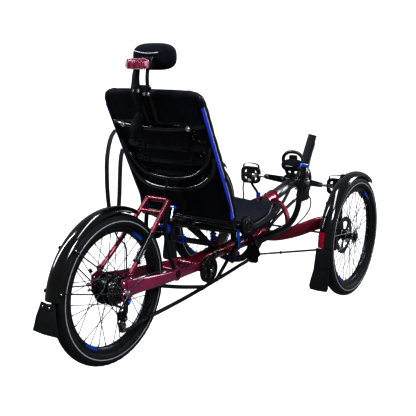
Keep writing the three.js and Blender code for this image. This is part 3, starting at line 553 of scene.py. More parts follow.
def matt_black():
    """Moulded black plastic with a fine spark texture."""
    plastic = Finish("matt_black", (0.008, 0.008, 0.01), 0.5, Specular_IOR_Level=0.3)
    plastic.mottle(50, 0.5)
    return plastic.rough(70, 0.1).bump(plastic.noise(2400, 3), 0.12, 0.5).material


def tyre_rubber():
    """Tyre rubber: dusty patches, mould grain and fine rings up the sidewall."""
    rubber = Finish("tyre_rubber", (0.009, 0.0095, 0.011), 0.6, Specular_IOR_Level=0.3)
    rubber.mottle(22, 0.6).blend(rubber.noise(6, 6), (0.05, 0.05, 0.053), 0.55, 0.8)
    return rubber.rough(50, 0.12).bump(rubber.noise(1500, 4), 0.2, 0.5).material


def flap_rubber():
    """Soft mudflap rubber, greyer than the tyre, with flow marks down its length."""
    rubber = Finish("flap_rubber", (0.011, 0.012, 0.015), 0.55, Specular_IOR_Level=0.3)
    rubber.mottle(18, 0.5)
    rubber.rough(40, 0.1, (1, 1, 0.2))
    rubber.bump(rubber.noise(1100, 3), 0.15, 0.4)
    return rubber.bump(rubber.noise(30, 2, (1, 1, 0.15)), 0.5, 0.3).material


def grip_rubber():
    """Foam rubber of the grips: open pores and a dull sheen."""
    rubber = Finish("grip_rubber", (0.02, 0.021, 0.024), 0.6, Specular_IOR_Level=0.35)
    rubber.mottle(60, 0.4)
    return rubber.rough(80, 0.08).bump(rubber.cells(1300), 0.25, 0.5).material


def reflective():
    """Pale reflective band: glass beads under a clear film."""
    film = Finish("reflective_band", (0.55, 0.57, 0.6), 0.28, Metallic=0.35, Coat_Weight=0.4)
    film.blend(film.cells(1800), (0.5, 0.52, 0.56), 0.3, 0.5)
    return film.rough(90, 0.1).bump(film.cells(1800), 0.06, 0.4).material


def rim_black():
    """Black anodised rim with turned lines and worn, lighter patches."""
    metal = Finish("rim_black", (0.017, 0.018, 0.022), 0.26, Metallic=0.6, Specular_IOR_Level=0.6)
    metal.mottle(35, 0.8)
    return metal.rough(60, 0.1).bump(metal.waves(420, "X"), 0.03, 0.4).material


def bright_steel(name="bright_steel", colour=(0.62, 0.63, 0.66), roughness=0.22):
    """Drawn stainless steel, finely scratched along its length."""
    metal = Finish(name, colour, roughness, Metallic=1.0)
    metal.mottle(80, 0.15)
    return metal.rough(300, 0.08).bump(metal.noise(1600, 2), 0.03, 0.3).material


def brushed_alloy():
    """Silver alloy brushed one way, with soft wear."""
    metal = Finish("brushed_alloy", (0.7, 0.71, 0.73), 0.25, Metallic=1.0)
    metal.mottle(40, 0.12)
    return metal.rough(120, 0.1, (1, 1, 8)).bump(metal.noise(500, 2, (1, 1, 0.05)), 0.05, 0.35).material


def disc_steel():
    """Ground brake steel: rings of wear and a straw tint."""
    metal = Finish("disc_steel", (0.16, 0.16, 0.17), 0.34, Metallic=1.0)
    metal.blend(metal.noise(25, 3), (0.3, 0.28, 0.26), 0.45, 0.7)
    return metal.rough(200, 0.1).bump(metal.noise(900, 2, (1, 0.2, 0.2)), 0.03, 0.4).material


def sprocket_steel():
    """Nickel-plated sprocket steel, darkened with oil at the roots."""
    metal = Finish("sprocket_steel", (0.33, 0.33, 0.34), 0.3, Metallic=1.0)
    metal.blend(metal.noise(120, 4), (0.06, 0.058, 0.055), 0.5, 0.72)
    return metal.rough(150, 0.1).bump(metal.noise(1200, 2), 0.04, 0.4).material


def chain_steel():
    """Oily dark chain steel with bright rubbed spots."""
    metal = Finish("chain_steel", (0.1, 0.1, 0.11), 0.35, Metallic=1.0)
    metal.blend(metal.noise(400, 3), (0.4, 0.4, 0.42), 0.52, 0.7)
    return metal.rough(250, 0.12).bump(metal.noise(1500, 2), 0.05, 0.4).material


def blue_anodised():
    """Bright blue anodised alloy with lathe marks."""
    metal = Finish("blue_anodised", (0.012, 0.13, 0.72), 0.24, Metallic=0.75, Coat_Weight=0.3)
    metal.mottle(90, 0.3)
    return metal.rough(200, 0.08).bump(metal.waves(900, "DIAGONAL"), 0.02, 0.4).material


def blue_elastomer():
    """Cast blue polyurethane: waxy, with small flow marks."""
    cast = Finish("blue_elastomer", (0.008, 0.05, 0.4), 0.38, Subsurface_Weight=0.15, Subsurface_Scale=0.004)
    cast.mottle(60, 0.4)
    return cast.rough(60, 0.08).bump(cast.noise(260, 3), 0.2, 0.35).material


def blue_piping():
    """Royal blue piping with a fine diagonal twist and a satin sheen."""
    cloth = Finish("blue_piping", (0.006, 0.05, 0.78), 0.48, Sheen_Weight=0.4)
    cloth.mottle(120, 0.4)
    return cloth.rough(90, 0.08).bump(cloth.waves(330, "DIAGONAL"), 0.2, 0.6).material


def silver_piping():
    """Grey reflective cord piping, fine ribbed."""
    cloth = Finish("silver_piping", (0.62, 0.63, 0.66), 0.42, Metallic=0.2, Sheen_Weight=0.3)
    cloth.mottle(150, 0.3)
    return cloth.rough(90, 0.08).bump(cloth.waves(360, "DIAGONAL"), 0.15, 0.6).material


def navy_knit():
    """Dense dark navy knit: rows of loops, slightly pilled."""
    cloth = Finish("navy_knit", (0.0035, 0.0045, 0.011), 0.78, Specular_IOR_Level=0.2, Sheen_Weight=0.03)
    cloth.mottle(26, 0.6)
    weave = cloth.times(cloth.waves(260, "X"), cloth.waves(260, "Z"))
    return cloth.rough(50, 0.08).bump(weave, 0.25, 0.7).bump(cloth.noise(150, 4), 0.4, 0.3).material


def seat_cloth():
    """Coated black seat fabric: a coarse plain weave with soft creases."""
    cloth = Finish("seat_cloth", (0.003, 0.0037, 0.008), 0.6, Specular_IOR_Level=0.25, Sheen_Weight=0.02)
    cloth.mottle(16, 0.7)
    weave = cloth.times(cloth.waves(210, "X"), cloth.waves(210, "Z"))
    return cloth.rough(40, 0.1).bump(weave, 0.3, 0.6).bump(cloth.noise(35, 3), 1.2, 0.35).material


def spacer_mesh(name="spacer_mesh", hole=0.12, colour=(0.004, 0.005, 0.009)):
    """Open spacer mesh: six-sided threads around see-through holes."""
    cloth = Finish(name, colour, 0.62, Specular_IOR_Level=0.25)
    cloth.mottle(20, 0.5)
    edge = cloth.cells(260, "DISTANCE_TO_EDGE")
    cloth.bump(cloth.ranged(edge, 0.0, 0.3, 1.0, 0.0), 0.5, 0.8)
    cover = cloth.ranged(edge, 0.42 - hole, 0.44 - hole, 1.0, 0.0)
    cloth.links.new(cover, cloth.surface.inputs["Alpha"])
    return cloth.rough(60, 0.08).material


def webbing():
    """Black nylon webbing: ribs along the strap crossed by a fine weave."""
    cloth = Finish("webbing", (0.005, 0.0055, 0.008), 0.55, Specular_IOR_Level=0.3)
    cloth.mottle(70, 0.5)
    weave = cloth.times(cloth.waves(240, "Z"), cloth.waves(240, "Y"))
    return cloth.rough(60, 0.1).bump(weave, 0.3, 0.7).material


def cable_black():
    """Extruded cable housing, dark with a violet cast."""
    sleeve = Finish("cable_black", (0.018, 0.014, 0.026), 0.28, Coat_Weight=0.4)
    sleeve.mottle(60, 0.5)
    return sleeve.rough(80, 0.08).bump(sleeve.noise(600, 2), 0.05, 0.3).material


def lamp_red():
    """Red lamp lens: clear moulded acrylic, deeper at its edges."""
    lens = Finish("lamp_red", (0.27, 0.014, 0.07), 0.22, Transmission_Weight=0.08, Coat_Weight=0.8, IOR=1.49)
    lens.blend(lens.noise(70), (0.5, 0.12, 0.24), 0.45, 0.75)
    lens.set("Emission Color", (0.8, 0.05, 0.12, 1))
    lens.set("Emission Strength", 0.03)
    return lens.rough(60, 0.05).bump(lens.waves(200, "X"), 0.12, 0.3).material


def reflector_red():
    """Red prism reflector."""
    lens = Finish("reflector_red", (0.26, 0.002, 0.018), 0.16, Coat_Weight=1.0)
    lens.blend(lens.cells(420), (0.36, 0.008, 0.035), 0.2, 0.5)
    return lens.rough(70, 0.05).bump(lens.cells(420), 0.4, 0.6).material


def lamp_painted_glint():
    """Pale pink with lighter facets, for the lamp's end windows and rim: painted glints of light on the lens.
    """
    lens = Finish("lamp_painted_glint", (0.6, 0.3, 0.38), 0.24, Coat_Weight=0.8)
    lens.blend(lens.cells(160), (0.75, 0.55, 0.6), 0.3, 0.7)
    return lens.rough(70, 0.06).bump(lens.cells(160), 0.2, 0.4).material


RED = candy_red()
# The chainstays' lighter red is a painted sheen on the frame's red.
SHEEN_PAINTED_RED = red_with_painted_sheen()
POWDER = powder_black()
GLOSS = gloss_black()
MATT = matt_black()
RUBBER = tyre_rubber()
FLAP = flap_rubber()
GRIP = grip_rubber()
REFLECTIVE = reflective()
RIM = rim_black()
STEEL = bright_steel()
WIRE = bright_steel("spoke_steel", (0.1, 0.1, 0.115), 0.34)
BOOM_GREY = bright_steel("boom_grey", (0.27, 0.27, 0.29), 0.36)
ALLOY = brushed_alloy()
DISC = disc_steel()
SPROCKET = sprocket_steel()
CHAIN = chain_steel()
BLUE = blue_anodised()
ELASTOMER = blue_elastomer()
PIPING = blue_piping()
SILVER_CORD = silver_piping()
NAVY = navy_knit()
CLOTH = seat_cloth()
MESH = spacer_mesh()
# The seat base's mesh is the back's spacer mesh painted pale grey: painted light where light falls on it.
MESH_PAINTED_LIGHT = spacer_mesh("mesh_painted_light", 0.1, (0.2, 0.21, 0.23))
WEBBING = webbing()
CABLE = cable_black()
LAMP = lamp_red()
REFLECTOR = reflector_red()
# The lamp's pale faceted colour is a painted glint.
LAMP_GLINT_PAINT = lamp_painted_glint()


# ---------------------------------------------------------------- wheels
def on_wheel(x, y, radius, angle):
    """A point on a wheel; angles run from straight up toward the rear."""
    return at(x, y + radius * sin(angle), AXLE_Z + radius * cos(angle))


def tyre_shape(x, y):
    """A tyre with a rounded sidewall, two tread grooves and slanted shoulder sipes."""
    half = [(14, 206.5), (17.5, 209), (20.5, 213), (22.4, 219), (23, 225), (22.8, 230), (22, 236),
            (20.6, 240.5), (18.6, 243.6), (16, 245.9), (12.6, 247.7), (9, 248.9), (7.6, 249.2), (6, 249.5),
            (4.4, 249.7), (2, 249.9)]
    profile = [(-w, r) for w, r in half] + [(w, r) for w, r in reversed(half)]
    centre = at(x, y, AXLE_Z)
    rings = []
    for i in range(TYRE_STEPS):
        ring = []
        for w, r in profile:
            reach = abs(w)
            sipe = (i + round(reach / 3)) % 6 == 0 and 8 < reach < 21
            groove = 5.5 < reach < 7.8
            shoulder = (i % 12) in (0, 1) and 20 < reach < 21.5
            depth = SIPE_DEEP if sipe else GROOVE_DEEP if groove else SHOULDER_DEEP if shoulder else 0
            a = tau * i / TYRE_STEPS
            ring.append(centre + Vector((w, (r - depth) * sin(a), (r - depth) * cos(a))) * MM)
        rings.append(ring)
    return skin(rings, closed=True)


def sidewall_band(x, y, side):
    """The pale reflective line on one sidewall."""
    profile = [(side * 22.5, 223.5), (side * 23.35, 224), (side * 23.35, 227.2), (side * 22.5, 227.8)]
    return turned(profile, at(x, y, AXLE_Z), sides=120, closed=True)


def rim_shape(x, y):
    profile = [(-13.6, 207.2), (-13.9, 204), (-13, 200), (-11.2, 193), (-8, 188.6), (-3, 187.2), (3, 187.2),
               (8, 188.6), (11.2, 193), (13, 200), (13.9, 204), (13.6, 207.2), (11.6, 207.6), (11, 204),
               (-11, 204), (-11.6, 207.6)]
    return turned(profile, at(x, y, AXLE_Z), sides=120, closed=True)


def spoke_set(x, y, flange_r, flange_x, cross):
    """Laced spokes with nipples at the rim and heads on the flanges."""
    wires, nipples = [], []
    for i in range(SPOKES):
        rim_angle = tau * i / SPOKES
        lean = cross if i % 4 < 2 else -cross
        hub_x = flange_x[i % 2]
        head = on_wheel(hub_x + (1.6 if i % 4 < 2 else -1.6), y, flange_r - 3, rim_angle + lean)
        foot = on_wheel(x + (2 if i % 2 else -2), y, NIPPLE_R - 9, rim_angle)
        wires.append(tube([head, foot], SPOKE_R, sides=6))
        wires.append(turned([(-1.6, 1.4), (-1.6, 2.3), (-0.6, 2.6), (0.4, 1.4)], head, sides=8))
        along = (on_wheel(x, y, NIPPLE_R, rim_angle) - foot).normalized()
        nipples.append(turned([(-3, 1.4), (-2.6, 1.9), (6, 1.9), (7, 2.9), (9.5, 2.9)], foot, along, sides=8))
    return merged(*wires), merged(*nipples)


def valve(x, y, angle):
    """A valve stem with its knurled nut and cap."""
    foot = on_wheel(x, y, NIPPLE_R, angle)
    inward = (on_wheel(x, y, 0, 0) - foot).normalized()
    profile = [(-2, 4.6), (2.4, 4.6), (2.6, 3), (17, 3), (17.2, 3.9), (29, 3.9), (30, 2.6)]
    return turned(profile, foot, inward, sides=16)


def wheel(name, body, x, y, flange_r, flange_x, cross):
    """The tyre, reflective lines, rim, spokes and valve of one wheel."""
    prefix, _, side = name.partition(" ")
    tail = f"_{side}" if side else ""
    tyre, rim, spokes = (f"{prefix}_{part}{tail}" for part in ("tyre", "rim", "spokes"))
    piece(f"{tyre}_tread", body, [tyre_shape(x, y)], RUBBER, stands_for=(tyre,), sharp=50)
    bands = [sidewall_band(x, y, s) for s in (-1, 1)]
    piece(f"{tyre}_lines", body, bands, REFLECTIVE)
    piece(f"{rim}_hoop", body, [rim_shape(x, y)], RIM, stands_for=(rim,))
    wires, nipples = spoke_set(x, y, flange_r, flange_x, cross)
    piece(f"{spokes}_laced", body, [wires, nipples], [WIRE, WIRE], stands_for=(spokes,))
    piece(f"{prefix}_valve{tail}", body, [valve(x, y, radians(-55))], ALLOY)
    decals = [plate([window(189.5, 199.5, start, start + 17, 10)], 0.7, stand(x + side_x, y, AXLE_Z), 0.2)
              for side_x in (-14.2, 14.2) for start in (-62, 118)]
    piece(f"{prefix}_rim_decals{tail}", body, decals, BLUE)


def flange(centre_x, y, radius, width, bore):
    """A hub flange with a scalloped edge, its rim softened."""
    lobes = SPOKES // 2
    edge = [((radius - 0.9 + 0.9 * cos(a * lobes)) * cos(a), (radius - 0.9 + 0.9 * cos(a * lobes)) * sin(a))
            for a in around(lobes * 8)]
    holes = [ring_of(1.4, 8, centre=((radius - 4) * cos(tau * i / lobes),
                                     (radius - 4) * sin(tau * i / lobes)))
             for i in range(lobes)]
    return plate([edge, ring_of(bore, 32), *holes], width, stand(centre_x, y, AXLE_Z), 0.5)


def front_hub(side_name, side):
    """Hub shell, two spoke flanges and the dust cap of a front wheel."""
    x = side * HALF_TRACK
    centre = at(0, FRONT_Y, AXLE_Z)
    barrel = [(338, 16), (347, 16), (350, 19), (356, 17), (360, 12.5), (386, 12.5), (391, 17), (395, 19),
              (397, 17)]
    cap = [(396.6, 15), (399, 15), (400.2, 12), (400.4, 5), (399, 4.4)]
    shapes = [turned(barrel, centre, sides=40), turned(cap, centre, sides=32)]
    flanges = [flange(359, FRONT_Y, 28, 3.4, 12), flange(389, FRONT_Y, 28, 3.4, 12)]
    bolts = [bolt(on_wheel(397, FRONT_Y, 11, a), X_AXIS, 1.6)
             for a in around(5)]
    whole = on_side(merged(*shapes, *bolts), side)
    piece(f"front_hub_shell_{side_name}", f"front_wheel_{side_name}", [whole], POWDER,
          stands_for=(f"front_hub_{side_name}",))
    piece(f"front_hub_flanges_{side_name}", f"front_wheel_{side_name}", [on_side(merged(*flanges), side)],
          ALLOY)
    wheel(f"front {side_name}", f"front_wheel_{side_name}", x, FRONT_Y, 28, (side * 359, side * 389),
          radians(62))


def brake_disc(side_name, side):
    """A drilled and scalloped brake disc on a five-arm carrier, with its bolts."""
    lobes = 20
    edge = [((78.6 + 1.4 * cos(a * lobes)) * cos(a), (78.6 + 1.4 * cos(a * lobes)) * sin(a))
            for a in around(240)]
    windows = [window(27, 58, 72 * i + 8, 72 * i + 56) for i in range(5)]
    holes = []
    for i in range(30):
        radius, a = 64 + 5 * (i % 3), tau * i / 30
        holes.append(ring_of(2.6, 8, centre=(radius * cos(a), radius * sin(a))))
    disc = plate([edge, ring_of(12.6, 32), *windows, *holes], 2, stand(341.5, FRONT_Y, AXLE_Z), 0.2)
    bolts = [bolt(on_wheel(340.4, FRONT_Y, 20, a), -X_AXIS, 2.4)
             for a in [tau * (i + 0.5) / 6 for i in range(6)]]
    body = f"front_wheel_{side_name}"
    piece(f"brake_disc_rotor_{side_name}", body, [on_side(disc, side), on_side(merged(*bolts), side)],
          [DISC, POWDER], stands_for=(f"brake_disc_{side_name}",))


def rear_hub():
    """The wide hub shell with its cooling ribs and spoke flanges."""
    shell = [(-22, 12), (-22, 34), (-20.5, 38.5), (-17, 41.5)]
    for step in range(5):
        x = -12 + step * 9
        shell += [(x - 2.5, 41.5), (x - 1.6, 43.4), (x + 1.6, 43.4), (x + 2.5, 41.5)]
    shell += [(35, 41), (38.5, 36), (39.5, 20), (43, 18), (44, 13), (60, 12)]
    centre = REAR_AXLE
    ends = [flange(at_x, 0, 53, 4, 40) for at_x in (-13, 28)]
    bolts = [bolt(on_wheel(39, 0, 28, a), X_AXIS, 2.2)
             for a in around(8)]
    axle = turned([(-60, 7.6), (-22, 7.6)], centre, sides=20)
    piece("rear_hub_shell", "rear_wheel", [turned(shell, centre, sides=64), *ends, *bolts, axle],
          [POWDER] * (len(bolts) + 3) + [STEEL], stands_for=("rear_hub",))


def cassette():
    """Nine sprockets with spacers and a lock ring."""
    shapes = []
    for i in range(9):
        x = -25.6 - 3.8 * i
        radius = 45.6 - 2.75 * i
        teeth = round(tau * radius / CHAIN_PITCH)
        windows = [window(radius * 0.55, radius * 0.8, 60 * k + 8, 60 * k + 48, 4)
                   for k in range(6)] if i < 4 else []
        shapes.append(plate([toothed(radius, teeth), ring_of(17, 24), *windows], 1.9, stand(x, 0, AXLE_Z),
                            0.25))
        shapes.append(turned([(x - 2.9, 17.5), (x + 1, 17.5)], REAR_AXLE, sides=24))
    bright = [ALLOY, SPROCKET] + [SPROCKET] * (len(shapes) - 2)
    lock = turned([(-61, 10), (-61, 15.5), (-57, 16.5), (-56.4, 16.5)], REAR_AXLE, sides=24)
    piece("cassette_sprockets", "cassette", [*shapes, lock], [*bright, POWDER],
          stands_for=("cassette",))


wheel("rear", "rear_wheel", 0, 0, 53, (-13, 28), radians(48))
rear_hub()
cassette()
for side_name, side in SIDES.items():
    front_hub(side_name, side)
    brake_disc(side_name, side)


# ---------------------------------------------------------------- fenders
def fender_shape(x, y, start, end):
    """A channel-section fender over a wheel, its edges rolled; angles run from straight up to the rear."""
    outer = [(28, 254.5), (28.3, 257), (26.6, 261.5), (22, 266.6), (15, 270.2), (7.5, 272.2), (0, 272.8)]
    inner = [(26.6, 254.5), (26.6, 256.6), (24.8, 260), (20.8, 264.6), (14, 268.2), (7, 270.1), (0, 270.6)]
    section = outer + [(-w, r) for w, r in reversed(outer[:-1])]
    section += [(-w, r) for w, r in inner] + [(w, r) for w, r in reversed(inner[:-1])]
    rings = []
    for i in range(FENDER_STEPS + 1):
        share = i / FENDER_STEPS
        a = radians(start + (end - start) * share)
        nose = min(1, 0.35 + 9 * share)
        ring = []
        for w, r in section:
            narrowed = w * sqrt(nose)
            ring.append(on_wheel(x + narrowed, y, r, a))
        rings.append(ring)
    return skin(rings)


def flap_shape(x, stops):
    """A flared rubber flap, its border raised and ribbed; each stop is (y, z, half width, shift inward)."""
    rows = []
    for y, z, half, inward in stops:
        row = []
        for share in (-1, -0.96, -0.86, -0.82, -0.5, 0, 0.5, 0.82, 0.86, 0.96, 1):
            crown = 5 * (1 - abs(share))
            row.append((share * half - inward, y + crown, z))
        rows.append(row)
    rings = []
    steps = 6
    for low, high in zip(rows, rows[1:]):
        for k in range(steps):
            t = k / steps
            rings.append([tuple(a + (b - a) * t for a, b in zip(p, q)) for p, q in zip(low, high)])
    rings.append(rows[-1])
    solid_rings = []
    for i, row in enumerate(rings):
        edge_row = i < 2 or i > len(rings) - 3
        face = []
        for j, (px, py, pz) in enumerate(row):
            raised = 0.9 if j in (1, 2, 8, 9) or edge_row else 0.6 if i % 4 == 0 and 2 < j < 8 else 0
            face.append(at(x + px, py + 3 + raised, pz))
        back = [at(x + px, py, pz) for px, py, pz in row]
        solid_rings.append(face + back[::-1])
    return skin(solid_rings)


def rear_fender():
    shell = fender_shape(0, 0, -28, 82)
    bolts, stays, clips = [], [], []
    for degrees in (46, 76):
        a = radians(degrees)
        foot, knee, tip = ((71, 24), (57, 150), (28.6, 259))
        wire = [on_wheel(px, 0, r, a) for px, r in (foot, knee, tip)]
        stays.append(both_sides(tube(wire, 2.2, sides=10, per=10)))
        clip = on_wheel(28.5, 0, 257, a)
        clips.append(both_sides(turned([(-2, 4.5), (0, 6), (5, 6), (6, 4.5)], clip, X_AXIS, 16)))
        bolts.append(both_sides(bolt(clip + Vector((0.006, 0, 0)), X_AXIS, 2.2)))
        bolts.append(both_sides(bolt(on_wheel(72, 0, 24, a), X_AXIS, 3)))
    piece("rear_fender_shell", "swingarm", [shell], GLOSS, stands_for=("rear_fender",), sharp=55)
    piece("rear_fender_stays", "swingarm", stays + clips + bolts,
          [POWDER] * len(stays) + [MATT] * len(clips) + [STEEL] * len(bolts))
    flap = flap_shape(0, [(270, 286, 27, 0), (280, 240, 42, 0), (284.8, 196, 52, 0)])
    studs = [turned([(0, 3.4), (1.4, 3), (1.8, 1.6)], at(px, 279.5, 276), Y_AXIS, 14) for px in (-14, 14)]
    piece("rear_mudflap_skin", "swingarm", [flap, *studs], [FLAP, ALLOY, ALLOY], stands_for=("rear_mudflap",))


def front_fender(side_name, side):
    """Fender, its stay from the knuckle, the flap and the red reflector of one front wheel."""
    body = f"knuckle_{side_name}"
    x = HALF_TRACK
    shell = fender_shape(x, FRONT_Y, -42, 88)
    piece(f"front_fender_shell_{side_name}", body, [on_side(shell, side)], GLOSS,
          stands_for=(f"front_fender_{side_name}",), sharp=55)
    stay = tube([at(333, FRONT_Y + 12, 345), at(334, FRONT_Y + 30, 430), at(336, FRONT_Y + 45, 495),
                 at(354, FRONT_Y + 52, 517)], 5, sides=14)
    bracket = block((342, FRONT_Y + 40, 512), (372, FRONT_Y + 62, 516.5), 1.5)
    rear_wire = tube([at(334, FRONT_Y + 20, 340), at(338, FRONT_Y + 130, 322), at(346, FRONT_Y + 258, 300)],
                     2, 10)
    bolts = [bolt(at(px, FRONT_Y + 51, 523), Vector((0, 0.2, 1)), 2.4) for px in (350, 364)]
    shapes = [on_side(s, side) for s in (stay, bracket, rear_wire, *bolts)]
    piece(f"front_fender_stay_{side_name}", body, shapes, [POWDER, POWDER, POWDER, STEEL, STEEL])
    flap = flap_shape(x, [(FRONT_Y + 270, 258, 28, 0), (FRONT_Y + 276, 170, 32, 3),
                          (FRONT_Y + 281, 122, 39, 7), (FRONT_Y + 283, 104, 40, 8),
                          (FRONT_Y + 284, 92, 35, 8)])
    piece(f"front_mudflap_skin_{side_name}", body, [on_side(flap, side)], FLAP,
          stands_for=(f"front_mudflap_{side_name}",))
    lens_rows = []
    for degrees in (75, 79, 83, 88):
        a = radians(degrees)
        row = [on_wheel(x + w, FRONT_Y, r + 1.8, a)
               for w, r in ((-25, 263.6), (-20, 268), (-12, 271.2), (-4, 272.8), (3, 272.8))]
        lens_rows.append(row)
    lens = sheet_of(lens_rows, 2.4, per=3)
    piece(f"front_reflector_{side_name}", body, [on_side(lens, side)], REFLECTOR)


rear_fender()
for side_name, side in SIDES.items():
    front_fender(side_name, side)


# ---------------------------------------------------------------- main frame
def oval(width, height, sides=20, power=0.62):
    """A box-like oval section (across, up) for a flattened tube."""
    return [(width / 2 * bent(cos(a), power), height / 2 * bent(sin(a), power)) for a in around(sides)]


def beam(stops, per=6):
    """A flattened tube through (point, width, height) stops, kept upright."""
    line = spline([stop[0] for stop in stops], per)
    rings = []
    for i, point in enumerate(line):
        share = i / per
        k = min(int(share), len(stops) - 2)
        t = share - k
        width = stops[k][1] + (stops[k + 1][1] - stops[k][1]) * t
        height = stops[k][2] + (stops[k + 1][2] - stops[k][2]) * t
        along = (line[min(i + 1, len(line) - 1)] - line[max(i - 1, 0)]).normalized()
        side = along.cross(Z_AXIS).normalized()
        up = side.cross(along)
        rings.append([point + (side * u + up * w) * MM for u, w in oval(width, height)])
    return skin(rings)


def main_frame():
    keel = tube([at(0, PIVOT_Y - 4, 228), at(0, -560, 232), at(0, -760, 228), at(0, -900, 232),
                 at(0, -975, 262), at(0, -1012, 318), at(0, -1020, 350)], KEEL_R, sides=32, per=8)
    pivot_tube = turned([(-38, 15), (-38, 18), (38, 18), (38, 15)], at(0, PIVOT_Y, PIVOT_Z), sides=36)
    stub = turned([(-60, 7), (0, 7)], at(0, IDLER_Y, IDLER_Z), sides=20)
    sleeve_line = at(0, -985, 362), at(0, -1062, 377.6)
    sleeve_axis = (sleeve_line[1] - sleeve_line[0]).normalized()
    sleeve = turned([(0, 26), (0, 30), (1, 31), (40, 31), (41, 32.5), (48, 32.5), (49, 31), (77, 31),
                     (78.5, 30), (78.5, 26)], sleeve_line[0], sleeve_axis, 40, closed=True)
    ear = block((11, -1056, 328), (19, -1036, 352), 2)
    arm = beam([(at(0, -952, 226), 34, 44), (at(70, -962, 230), 34, 46), (at(150, -990, 254), 32, 50),
                (at(230, -1030, 290), 30, 52), (at(292, FRONT_Y, 306), 26, 50)])
    kingpin = turned([(0, 13), (0, 16), (4, 16), (5, 15), (51, 15), (52, 16), (56, 16), (56, 13)],
                     at(KINGPIN_X, FRONT_Y, 278), Z_AXIS, 32)
    arch_half = [at(118, -985, 262), at(102, -1000, 322), at(66, -1006, 362)]
    arch = band([*arch_half, at(0, -1010, 378), *mirrored(arch_half)], 26, 11, Y_AXIS)
    post = turned([(0, 15), (44, 15), (46, 16.4), (48, 16.4)], at(0, -610, 240), Z_AXIS, 28)
    boss = turned([(0, 17), (22, 17), (25, 19)], at(0, STEER_Y, BOSS_Z), Z_AXIS, 28)
    welds = merged(
        both_sides(weld(at(16, -958, 228), X_AXIS, 20)),
        both_sides(weld(at(284, FRONT_Y, 305), X_AXIS, 20, 2.2)),
        both_sides(weld(at(17, PIVOT_Y, PIVOT_Z), X_AXIS, 18)), weld(at(0, -610, 256), Z_AXIS, 15),
        weld(at(0, STEER_Y, 204), Z_AXIS, 17), weld(at(0, -1018, 342), Vector((0, -0.3, 1)), 24),
        both_sides(weld(at(113, -990, 280), Vector((-0.3, 0, 1)), 8, 2)),
    )
    arm_bolt = bolt(at(-140, -1003, 258), Vector((0, 1, 0.1)), 3.4)
    arm_bolts = merged(arm_bolt, flipped(arm_bolt))
    piece("main_frame_welded", "frame",
          [keel, pivot_tube, stub, sleeve, both_sides(ear), both_sides(arm), both_sides(kingpin), arch, post,
           boss, welds, arm_bolts], [RED] * 11 + [POWDER], stands_for=("main_frame",))
    pin_nut = hex_nut(at(-26, -1046, 334), -X_AXIS, 6, 5)
    caps = [turned([(0, 17), (0, 19.5), (3, 20.4), (5, 18), (5, 8)], at(side * 38.2, PIVOT_Y, PIVOT_Z),
                   X_AXIS * side, 28)
            for side in (-1, 1)]
    piece("main_frame_fittings", "frame", [pin_nut, *caps], [BLUE, POWDER, POWDER])


def boom():
    line = at(0, -996, 364.2), at(0, -1250, 415)
    axis = (line[1] - line[0]).normalized()
    body = turned([(0, 23.5), (1.5, 25), (256, 25), (258, 23)], line[0], axis, 36)
    shell = turned([(-38, 14), (-38, 21), (-37, 22), (37, 22), (38, 21), (38, 14)], at(0, BB_Y, BB_Z),
                   sides=36)
    post = turned([(0, 9), (22, 9)], at(0, ACCESSORY_Y, 420), Z_AXIS, 20)
    marks = [turned([(60 + 12 * i, 25.0), (60 + 12 * i, 25.25), (61 + 12 * i, 25.25), (61 + 12 * i, 25.0)],
                    line[0], axis, 36) for i in range(9)]
    beads = merged(both_sides(weld(at(10, -1249, 414.5), X_AXIS, 25)),
                   weld(at(0, ACCESSORY_Y, 437), Z_AXIS, 9, 1.8))
    piece("boom_tube", "frame", [body, shell, post, beads, *marks],
          [BOOM_GREY, POWDER, POWDER, POWDER] + [MATT] * 9, stands_for=("boom",))
    cups = [turned([(0, 22.4), (0, 24), (2, 24.6), (9, 24.6), (11, 23), (11, 13)],
                   at(side * 38.2, BB_Y, BB_Z), X_AXIS * side, 24) for side in (-1, 1)]
    piece("bottom_bracket_cups", "frame", cups, MATT)


def accessory_loop():
    """The upright guard loop with the rounded pod inside it."""
    half = [(24, 450), (33, 468), (47, 498), (49, 528), (30, 549)]
    route = [at(0, ACCESSORY_Y, 448)] + [at(x, ACCESSORY_Y, z) for x, z in half] + [at(0, ACCESSORY_Y, 555)]
    route += [at(-x, ACCESSORY_Y, z) for x, z in reversed(half)]
    ring = spline(route + route[:3], 7)[7:-14]
    loop = tube(ring, 8, sides=18, closed=True)
    pod_rings = []
    for i in range(25):
        share = -1 + i / 12
        size = max(0.1, (1 - abs(share) ** 3.2)) ** 0.42
        section = oval(2, 2, 28, 0.75)
        middle = at(50 * share, ACCESSORY_Y + 6, 494)
        pod_rings.append([middle + Vector((0, 34 * u * size, 27 * w * size)) * MM for u, w in section])
    pod = skin(pod_rings)
    seam = [at(50 * cos(a), ACCESSORY_Y + 6 + 34.6 * sin(a), 494) for a in around(40)]
    cord_line = tube(seam, 1.4, sides=8, closed=True)
    foot = turned([(0, 9), (26, 9), (34, 12)], at(0, ACCESSORY_Y, 442.4), Z_AXIS, 24)
    cap = block((-8, ACCESSORY_Y - 34, 500), (30, ACCESSORY_Y - 14, 536), 5)
    made = piece("accessory_pod", "frame", [pod, cord_line], [NAVY, SILVER_CORD],
                 stands_for=("accessory_loop",))
    piece("accessory_guard", "frame", [loop, foot, cap], [POWDER, MATT, MATT])


def boom_lever():
    y, z = -1046, 334
    pin = turned([(-26, 5), (25, 5)], at(0, y, z), sides=20)
    barrel = turned([(24, 7), (25, 9.4), (34, 9.4), (35, 7)], at(0, y, z), sides=28)
    arm = beam([(at(30, y, z), 8, 14), (at(33, y + 28, z + 12), 7, 17), (at(35, y + 56, z + 18), 6, 13)])
    piece("boom_lever_blade", "boom_lever", [pin, barrel, arm], BLUE, stands_for=("boom_lever",))


